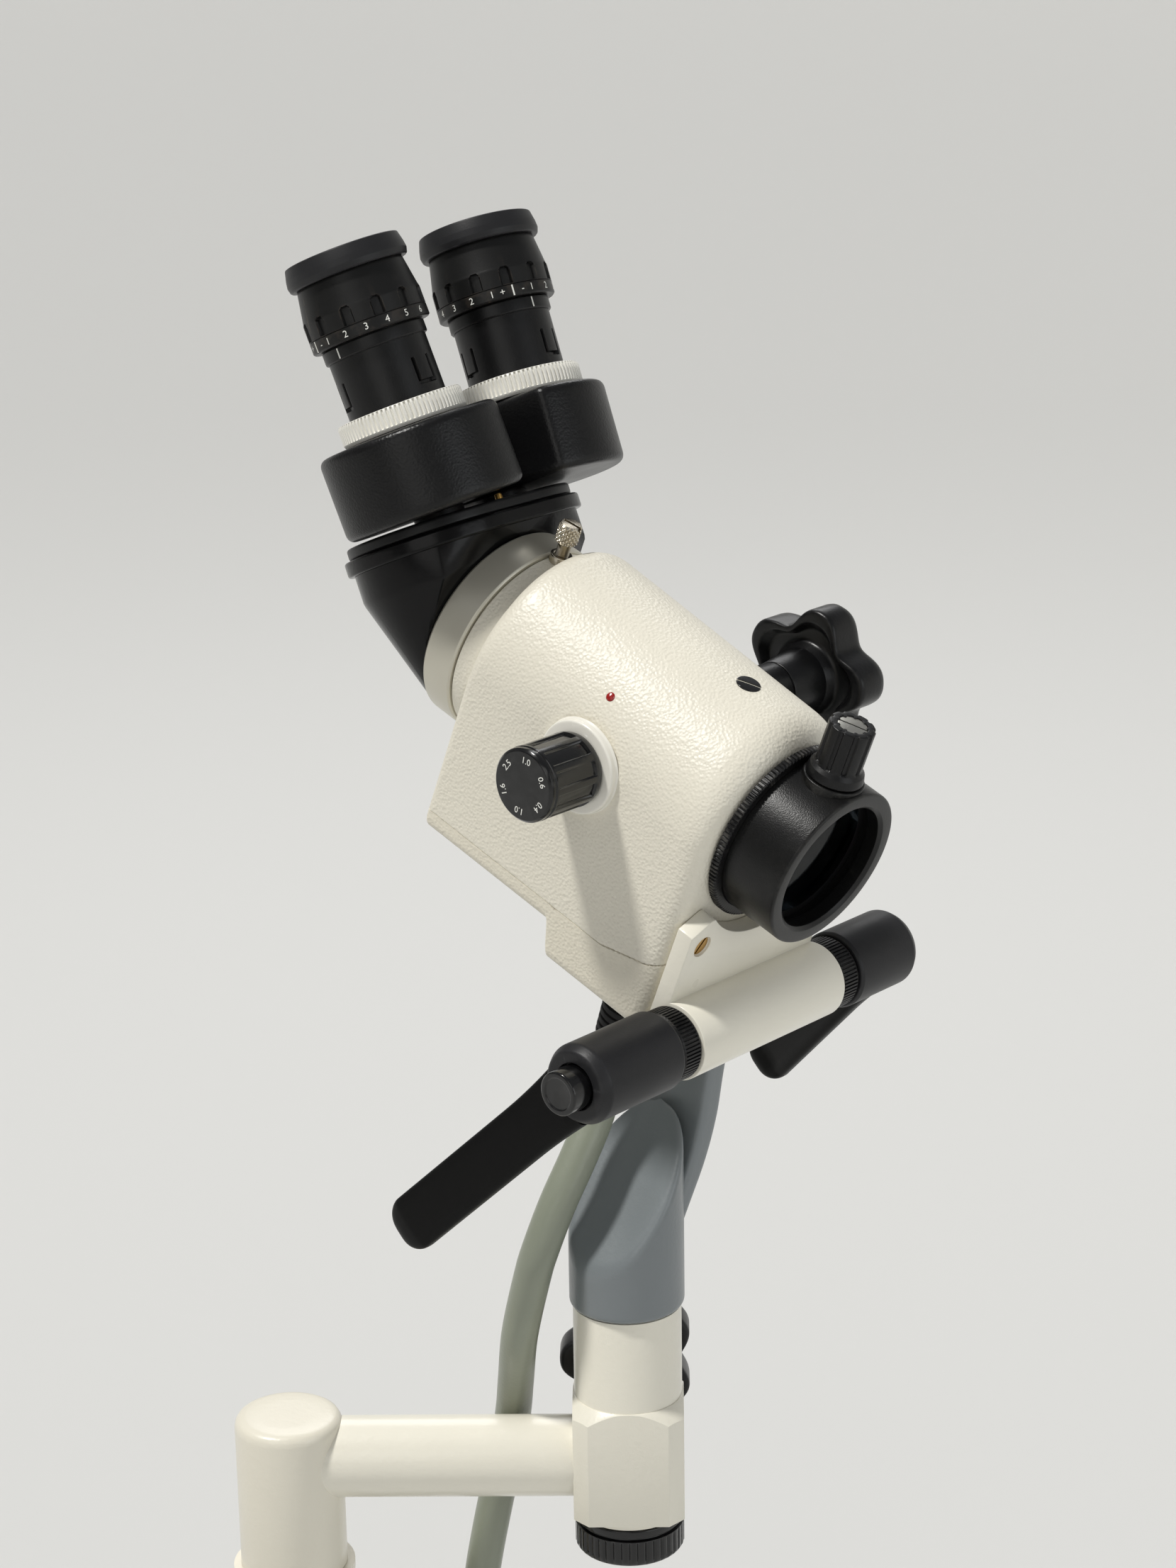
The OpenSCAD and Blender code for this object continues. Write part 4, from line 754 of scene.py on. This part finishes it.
def magnification(m):
    def mod(a, r, z):
        if 2.6 < z < 19.6:
            return r - 0.85 * np.clip((np.cos(a * 10) + 0.62) * 5, 0, 1)
        return np.full_like(a, r)
    lathe("magnification_grip", [(3.2, 0), (11.5, 0, 0.5)] + wall(11.9, (1.6, 2.5, 2.9, 19.3, 19.7)) +
          [(11.9, 20.5, 0.2), (11.45, 20.8, 0.2), (11.45, 21.1, 0.2), (11.8, 21.4, 0.2), (11.7, 22.6, 0.3),
           (10.9, 23.4, 0.6), (0, 23.4, 0)],
          "gloss", "drum", m, ("magnification_knob",), segs=400, mod=mod, radius=0.4)
    rows = []
    for i, text in enumerate(("2.5", "1.0", "0.6", "0.4", "1.0", "1.6")):
        t = np.radians(160 - 60 * i)
        rows.append((text, 3.0, m @ move(8.2 * np.cos(t), 8.2 * np.sin(t), 23.38) @ turn("z", np.degrees(t) - 90)))
    figures("magnification_figures", rows, "mark", "drum")


def objective():
    out = HEAD @ ALONG_X
    shell = lathe("objective_shell", [(23.5, 52.05), (27, 52.05, 0.3), (27, 55.6, 0), (27, 75.6, 1.0),
              (22.6, 75.6, 0.5), (21.4, 74.6, 0.3), (21.4, 70.3, 0.3), (23.5, 70.3, 0.2)],
                  "barrel", None, out, segs=144, closed=True, radius=0.3)
    base = lathe("focus_boss", [(4, 23.6), (9.8, 23.6, 0), (9.8, BARREL_TOP, 0.6), (4, BARREL_TOP)], "barrel", None,
                 HEAD @ move(FOCUS_O, 0, 0), segs=96)
    merge(shell, base)
    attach(shell, "head")
    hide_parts("objective_barrel")
    knurl = wave(130, 0.5)
    lathe("objective_knurl", [(27.1, 52.02), (29.9, 52.02, 0.3), (30.3, 52.4, 0), (30.3, 54.5, 0),
              (29.9, 54.92, 0.3), (27.1, 54.92)],
          "ridges", "head", out, ("objective_ring",), segs=900, closed=True, radius=0.2,
          mod=lambda a, r, z: r + (knurl(a) if r > 29.5 else 0))
    # painted shade: a flat black disc across the bore stands for the dark opening behind the objective; it is
    # partly the black paint inside and partly painted shade
    lathe("painted_shade_disc", [(0, 54.5, 0), (22.0, 54.5, 0), (22.0, 54.8, 0), (0, 54.8, 0)],
          "dull", "objective_cell", out, segs=64)

    def mod(a, r, z):
        if z > 4.6:
            return r - 0.62 * np.clip((np.cos(a * 9) - 0.35) * 2.2, 0, 1)
        return np.full_like(a, r)
    m = HEAD @ move(FOCUS_O, 0, BARREL_TOP)
    lathe("focus_grip", [(2.4, 0.3), (9.2, 0.3, 0.5), (9.0, 1.6, 0.2), (8.6, 3.2, 0.4), (7.6, 4.4, 0.2),
              (7.35, 4.9, 0)] + wall(7.35, (5.2, 8, 12, 15.5)) +
          [(7.35, 18.7, 0.7), (4.9, 18.75, 0.2), (4.8, 18.2, 0)],
          "satin", "focus_knob", m, ("focus_knob",), segs=270, mod=mod, radius=0.4)
    cap = lathe("focus_cap", [(0, 16, 0), (4.75, 16, 0), (4.75, 18.5, 0.3), (0, 18.6, 0)],
                "aluminium", "focus_knob", m, segs=64)
    carve(cap, block(m @ turn("z", 25), 6, 0.3, 18.0, 20))


GRIP_END, GRIP_LESS = 81.1, {1: 6.0, -1: 0.0}      # the left grip and lever are shorter by this
BUTTON_Z = {1: (69.4, 75.9), -1: (75.4, 88.6)}


def handle():
    soften("handle_bracket", "cream", 0.9)
    knurl, collars = wave(60, 0.55), []
    for s in (1, -1):
        m = HANDLE @ turn("x", -90 * s)
        collars.append(lathe("collar_" + SIDES[s], [(8.1, 35.05), (11.2, 35.05, 0.4), (11.5, 35.7, 0.2)] +
                             wall(11.8, (36.0, 36.3, 42.5, 42.8)) + [(11.2, 43.8, 0.4), (8.1, 43.8)],
                             "ridges", None, m, segs=480, radius=0.25,
                             mod=lambda a, r, z: r + (knurl(a) if 36.2 < z < 42.6 else 0)))
        if s < 0:
            merge(*collars)
            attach(collars[0], "head")
            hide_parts("handle_collars")
        less = GRIP_LESS[s]
        end = GRIP_END - less
        grip = lathe("grip_" + SIDES[s], [(8.2, 44.1), (12.2, 44.1, 0.6), (12.8, 45.2, 0.8), (12.8, end - 3, 2.5),
              (11.0, end, 1.6), (7.4, end, 0.4), (7.4, end - 2.5, 0), (6, end - 2.6)],
                     "rubber", None, m, segs=120)
        lever(m, s, less)
        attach(grip, SIDES[s] + "_grip")
        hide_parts(SIDES[s] + "_grip")
        z0, z1 = BUTTON_Z[s]
        lathe("button_" + SIDES[s], [(0, z0, 0), (6.95, z0, 0.2), (6.95, z1, 1.3), (5.2, z1, 0.5),
              (4.9, z1 - 0.35, 0.5), (0, z1 - 0.5, 0)],
              "gloss", SIDES[s] + "_button", m, (SIDES[s] + "_button",), segs=96)


LEVER_RUN, LEVER_HALF, LEVER_TIP = 81.5, 9.0, 8.5


def lever(m, s, less):
    """Thumb lever moulded on the grip: a rounded bar that flares outwards, with a shallow trough inside."""
    d = np.array([-0.4, -0.915])
    d /= np.linalg.norm(d)
    # the lever's run in this side's frame, whose z goes outward along the handle
    e = (np.linalg.inv(m) @ HANDLE)[:3, :3] @ np.array([d[0], 0, d[1]])
    side = np.cross((0, 0, 1), e)
    verts, a = [], around(48)
    c, sn = np.cos(a), np.sin(a)
    round_end = LEVER_RUN + 8.45 * np.sin(np.linspace(0.08, PI / 2, 14))
    along = np.concatenate([np.linspace(8, LEVER_RUN, 44), round_end])
    for t in along:
        share = np.clip((t - 4) / 78, 0, 1)
        thick = 8.0 - 1.6 * share
        half, high = LEVER_HALF, thick / 2
        if t >= LEVER_RUN:
            past = (t - LEVER_RUN) / LEVER_TIP
            half = max(0.05, LEVER_HALF * np.sqrt(max(0, 1 - past ** 2)))
            high = max(0.05, thick / 2 * (1 - past ** 4) ** 0.5)
        if t < 30:
            half += 2.4 * (1 - t / 30) ** 2
        x = half * np.sign(c) * np.abs(c) ** 0.55
        y = high * np.sign(sn) * np.abs(sn) ** 0.55
        trough = 1.2 * np.clip((t - 16) / 8, 0, 1) * np.clip((86 - t) / 6, 0, 1) * np.exp(-(x / 5.2) ** 4)
        y = np.where(sn < 0, y + trough, y)
        p = np.outer(np.full(len(a), t), e) + np.outer(x, side)
        p[:, 2] += 72 - less + share * 16.5 + thick / 2 + y
        verts.append(p)
    return make("lever_" + SIDES[s], np.concatenate(verts), grid(len(along), len(a), flip=True), "lever",
                SIDES[s] + "_grip", m, smooth=50)


# ---------------------------------------- binocular
PLATE_R, PLATE_X, PLATE_Y = 29, -18, 12      # base plate: a round of this radius, drawn out to both sides


def binocular():
    lathe("mount_collar_ring", [(20.1, -59.3), (32.2, -59.3, 0.5), (33, -58.6, 0.4), (33, -51.55, 0.4),
              (20.1, -51.55)],
          "cast", "head", HEAD @ ALONG_X, ("mount_collar",), segs=144, closed=True)
    m = HEAD @ move(THUMB_O, 0, 0)
    lathe("thumb_boss", [(2.4, 30), (3.7, 30, 0), (3.7, 35.6, 0.4), (2.4, 35.6)], "nickel", "head", m, segs=64,
          closed=True)

    def knurl(a, r, z):
        if r < 3.4:
            return np.full_like(a, r)
        cross = np.abs(np.sin(a * 7 + z * 1.9)) * np.abs(np.sin(a * 7 - z * 1.9))
        return r - 0.62 * np.clip(1 - cross * 1.7, 0, 1)
    crown = lathe("thumbscrew_head", [(0, 40.3, 0), (3.3, 40.3, 0)] + wall(3.78, np.linspace(40.7, 46.3, 26)) +
                  [(3.2, 46.95, 0.2), (0, 47.0, 0)], "nickel", None, m, segs=200, mod=knurl, radius=0.2)
    carve(crown, block(m @ turn("z", 10), 5, 0.55, 44.9, 48))
    neck = [(1.7, 25.0, 0)]
    for z in 33 + np.arange(14) * 0.55:
        neck += [(2.25, z, 0), (1.8, z + 0.27, 0)]
    merge(crown, lathe("thumbscrew_thread", neck + [(2.0, 40.8, 0)], "nickel", None, m, segs=32))
    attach(crown, "thumbscrew")
    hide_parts("thumbscrew")
    lathe("dovetail_shell", [(20.1, -71.95), (33.0, -71.95, 0.6), (33.8, -71.0, 0.5), (33.8, -60.2, 0.5),
              (33.2, -59.47, 0.4), (20.1, -59.47)],
          "pearl", "binocular", HEAD @ ALONG_X, ("dovetail_ring",), segs=144, closed=True)
    prism_box()
    base = plate("base_plate_shell", PLATE_R, -2, 2, 1.2, "satin")
    for s in (1, -1):
        merge(base, lathe("hinge_boss", [(6.4, -1), (8.4, -1, 0), (8.4, 4.3, 0.5), (6.4, 4.3)], "satin", None,
                          HINGE[s], segs=64, closed=True))
    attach(base, "binocular")
    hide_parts("base_plate")
    lathe("gap_pin", [(0, 0, 0), (1.2, 0, 0), (1.2, 2.2, 0.4), (0, 2.4, 0)], "brass", "binocular",
          TUBE @ move(4.5, -2.0, -0.2), segs=48)


def plate(name, r, z, half, edge, mat):
    """A slab with the base plate's outline, its edges rounded over about edge."""
    def f(x, y, w):
        outline = np.hypot(x - PLATE_X, np.maximum(np.abs(y) - PLATE_Y, 0)) - r
        return smax(outline, np.abs(w - z) - half, edge)
    return solid(name, f, levels(z - half, z + half, edge, edge, 1), mat, None, TUBE,
                 centre=lambda w: (PLATE_X, 0), n=160, smooth=50)


def prism_box():
    pts = []
    for r, o in ((31.8, -71.98), (32.5, -72.2), (32.8, -72.8), (32.8, -73.0)):
        pts.append(at(np.linalg.inv(TUBE), disc_points(HEAD @ ALONG_X, r, o)))
    for inset, z in ((2.6, -21.0), (1.2, -20.6), (0.3, -19.4), (0, -18), (0, -6.6)):
        a = around(144)
        x, y = np.cos(a), np.sin(a)
        r = PLATE_R - inset
        ring = np.stack([PLATE_X + r * x, np.sign(y) * PLATE_Y + r * y, np.full(len(a), z)], 1)
        local = at(np.linalg.inv(HEAD), at(TUBE, ring))
        pts.append(ring[local[:, 0] <= -72.27])
    box = hull("prism_box_shell", np.concatenate(pts), "box", TUBE)
    merge(box, plate("prism_box_flange", PLATE_R + 2, -6.5, 2.5, 1.0, "box"))
    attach(box, "binocular")
    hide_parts("prism_box")


def oculars():
    for s in (1, -1):
        m, side = EYE[s], SIDES[s]
        t = np.radians(s * 8.75)

        def housing(x, y, z, s=s, t=t):
            d = np.hypot(x + 2.3, y + s * 3.2) - 30.5
            # the flat face looks towards the other housing
            flat = -s * (-np.sin(t) * (x - 24.9) + np.cos(t) * (y + s * 17.3))
            return smax(smax(d, flat, 1.6), np.abs(z + 15.55) - 13.85, 3.2)
        solid("housing_" + side, housing, levels(-29.4, -1.7, 3.2, 3.2, 2.5), "wrinkle", side + "_ocular", m,
              (side + "_prism_housing",), centre=lambda z, s=s: (-2.3, s * 3.0), n=300, smooth=35)
        ribs = wave(84, 0.75)
        lathe("clamp_" + side, [(16.06, -1.35), (19.9, -1.35, 0.4), (20.3, -0.7, 0.2)] +
              wall(20.5, (-0.2, 0.1, 4.7, 5.0)) + [(20.0, 6.0, 0.5), (16.06, 6.0)],
              "knurled", side + "_clamp", m, (side + "_clamp_ring",), segs=768, closed=True,
              radius=0.25, mod=lambda a, r, z: r + (ribs(a) if r > 20.1 and z > 0 else 0))
        sleeve(side, m)
        dioptre(side, m)
        lathe("cup_" + side, [(13.1, 49.86), (19.0, 49.86, 0.3), (19.45, 50.3, 0.3), (19.88, 51.9, 0.8),
              (19.6, 54.0, 0.5), (18.75, 57.4, 0.5), (18.1, 57.58, 0.3), (17.2, 57.4, 0.5),
              (15.4, 56.6, 0.8), (13.4, 53.0, 0.8), (13.1, 51.5, 0.3)],
              "rubber", side + "_dioptre", m, (side + "_eyecup",), segs=144, closed=True)


def facing_angle(m):
    """Turn, in an eye tube's frame, towards the side from which the tube is seen in the photograph."""
    p = at(np.linalg.inv(m), np.array(CAMERA_AT) / MM)[0]
    return np.degrees(np.arctan2(p[1], p[0]))


# Turns from the facing side to the first spring tongue, to the scale's nought and to the index line
TONGUE_AT = {"right": 48, "left": 60}
ZERO_AT = {"right": -65, "left": 19.5}
INDEX_AT = {"right": -44, "left": 43}
SLEEVE_R, INDEX_R, DIOPTRE_R = 16, 16.9, 19.4


def sleeve(side, m):
    """Eye tube with the U-shaped slots of its three spring tongues, and the ring that carries the index line."""
    start = facing_angle(m) + TONGUE_AT[side]

    def mod(a, r, z):
        if r < 15.9:
            return np.full_like(a, r)
        d = np.zeros_like(a)
        for k in range(3):
            c = (a - np.radians(start + k * 120) + PI) % (2 * PI) - PI
            w = np.abs(c) * SLEEVE_R
            if 9.5 < z < 18.0:
                d = np.maximum(d, np.clip(1.4 - np.abs(w - 3.4) / 0.45, 0, 1) * 1.4)
            if 9.3 < z < 10.5:
                d = np.maximum(d, np.where(w < 3.6, 1.4, 0))
        return r - d
    zs = np.concatenate([[8.0], np.linspace(9.2, 10.8, 9), [13, 15, 17.4, 17.8, 18.1, 18.6]])
    lathe("sleeve_" + side, [(13.02, -4.1), (SLEEVE_R, -4.1, 0.2)] + wall(SLEEVE_R, zs) +
          [(SLEEVE_R, 24.9, 0), (16.6, 24.95, 0.2), (INDEX_R, 25.4, 0.2), (INDEX_R, 28.9, 0.2), (16.6, 29.1, 0.2),
           (15, 29.15, 0), (15, 37.6, 0.2), (13.02, 37.6)],
          "satin", side + "_ocular", m, (side + "_eye_tube",), segs=420, closed=True, radius=0.2, mod=mod)


def dioptre(side, m):
    """Ring with twelve arched flutes over a plain band of figures."""
    def mod(a, r, z):
        if r < 17.6 or z < 33.7 or z > 39.7:
            return np.full_like(a, r)
        c = (a + PI / 12) % (PI / 6) - PI / 12
        y = np.abs(c) * r
        arch = 38.0 + np.sqrt(np.clip(1.7 ** 2 - y ** 2, 0, None))
        return r - 1.15 * np.clip((1.75 - y) / 0.15, 0, 1) * (z < arch) * (z > 33.75)
    lathe("dioptre_shell_" + side,
          [(15.06, 29.42), (18.9, 29.42, 0.3), (DIOPTRE_R, 29.9, 0.2), (DIOPTRE_R, 33.2, 0), (19.1, 33.32, 0),
           (19.1, 33.44, 0)] +
          wall(DIOPTRE_R, [33.6, 33.74, 33.8, 35.5, 37, 38.0, 38.3, 38.6, 38.9]) +
          [(19.38, 39.1, 0), (19.3, 39.4, 0), (19.22, 39.7, 0), (19.1, 40.1, 0), (17.6, 49.2, 0.4),
           (17.4, 49.8, 0.2), (13.1, 49.8), (13.1, 38), (15.06, 38)],
          "worn", side + "_dioptre", m, (side + "_dioptre_ring",), segs=432, closed=True, radius=0.2, mod=mod)
    zero = facing_angle(m) + ZERO_AT[side]
    marks = [(str(abs(i)), zero + 21 * i) for i in range(-6, 7) if i] + [("+", zero - 10.5), ("-", zero + 10.5)]
    rows = [(text, 3.1, m @ turn("z", a) @ move(19.36, 0, 31.45) @ ALONG_X @ turn("z", 90)) for text, a in marks]
    ink = figures("dioptre_figures_" + side, rows, "mark", None)
    merge(ink, block(m @ turn("z", zero) @ move(19.36, 0, 0), 0.08, 0.25, 29.7, 33.2))
    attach(ink, side + "_dioptre")
    block(m @ turn("z", facing_angle(m) + INDEX_AT[side]) @ move(16.86, 0, 0), 0.1, 0.25, 25.4, 28.7,
          "index_line_" + side, "mark", side + "_ocular")


def gland():
    """Cable gland: a six-sided nut and a ribbed boot that tapers to the cable."""
    def mod(a, r, z):
        if 69.6 < z < 76.4 and r > 9:
            c = (a + PI / 6) % (PI / 3) - PI / 6
            return np.minimum(r, 9.3 / np.cos(c))
        return np.full_like(a, r)
    prof = [(6.3, 68), (10.5, 69.02, 0.2), (10.5, 69.5, 0), (10.5, 69.8, 0), (10.5, 76.2, 0), (10.3, 76.8, 0.3),
            (9.0, 77.0, 0.2)]
    z = 78.2
    while z < 102:
        r = np.interp(z, [78, 104], [9.0, 7.4])
        prof += [(r, z, 0.2), (r - 0.7, z + 0.25, 0.2), (r - 0.8, z + 0.9, 0.2), (r - 0.15, z + 1.15, 0.2)]
        z += 2.9
    prof += [(7.4, 103.2, 0.3), (7.2, 104, 0.3), (6.27, 104)]
    lathe("cable_boot", prof, "dull", "head", HEAD @ move(GLAND_O, 0, 0) @ turn("x", 180), ("cable_gland",),
          radius=0.3, mod=mod)


stand()
yoke()
head()
objective()
handle()
binocular()
oculars()
gland()

# ---------------------------------------- materials of the nodes that stay
KEPT = {"post": "post_tube", "cream": "arm_bushes", "nickel": "lift_screw tilt_pin",
        "aluminium": "swing_spindle lift_shaft handle_rod light_guide",
        "brass": "lift_nut yoke_bush drum_bushes head_screws", "dull": "lens_drum objective_cell",
        "lens": "drum_lenses objective_lens left_eye_optics right_eye_optics", "prism": "tube_prisms"}
for key, nodes in KEPT.items():
    for node in nodes.split():
        mesh = frame["nodes"][node].data
        mesh.materials.clear()
        mesh.materials.append(MAT[key])
        shade(mesh, 32)


# ---------------------------------------- stage and light, in metres
FLOOR_Z, FLAT_R, RIM_R, WALL_R, WALL_H = -0.0755, 10, 5, 15, 9
AIM = (0.05, 0, 0.35)
LIGHTS = (("key", "SUN", (-1.056, -0.371, 2.75), 0.12, 2.6, (1, 0.985, 0.95)),
          ("front", "AREA", (-0.6, -2.2, 1.3), 1.4, 6, (1, 0.99, 0.96)),
          ("fill", "AREA", (1.7, -1.3, 0.9), 1.2, 6, (0.92, 0.96, 1)),
          ("back", "AREA", (0.1, 1.5, 1.6), 1.0, 8, (1, 1, 1)))


def stage():
    """A floor that curves up into a round wall, a pale sky and four lights."""
    mesh = bpy.data.meshes.new("floor")
    a = np.linspace(0, PI / 2, 16)[1:]
    rim = zip(FLAT_R + RIM_R * np.sin(a), RIM_R - RIM_R * np.cos(a))
    sweep = [(0.5, 0), (FLAT_R, 0)] + list(rim) + [(WALL_R, WALL_H)]
    verts = [(r * np.cos(t), r * np.sin(t), h + FLOOR_Z) for r, h in sweep for t in around(96)]
    mesh.from_pydata(verts, [], grid(len(sweep), 96, flip=True)[:-1])
    for p in mesh.polygons:
        p.use_smooth = len(p.vertices) == 4
    o = bpy.data.objects.new("floor", mesh)
    bpy.context.scene.collection.objects.link(o)
    m = bpy.data.materials.new("floor_paper")
    m.use_nodes = True
    m.node_tree.nodes["Principled BSDF"].inputs["Base Color"].default_value = (0.60, 0.60, 0.59, 1)
    m.node_tree.nodes["Principled BSDF"].inputs["Roughness"].default_value = 0.8
    mesh.materials.append(m)
    world = bpy.data.worlds.new("world")
    bpy.context.scene.world = world
    world.use_nodes = True
    world.node_tree.nodes["Background"].inputs["Color"].default_value = (0.95, 0.97, 1.0, 1)
    world.node_tree.nodes["Background"].inputs["Strength"].default_value = 0.25
    for name, kind, where, size, power, colour in LIGHTS:
        d = bpy.data.lights.new(name, kind)
        if kind == "SUN":
            d.angle = size
        else:
            d.size = size
        d.energy = power
        d.color = colour
        lamp = bpy.data.objects.new(name, d)
        bpy.context.scene.collection.objects.link(lamp)
        lamp.location = where
        lamp.rotation_euler = (Vector(AIM) - Vector(where)).to_track_quat("-Z", "Y").to_euler()


stage()
bpy.context.scene.view_settings.view_transform = "Standard"
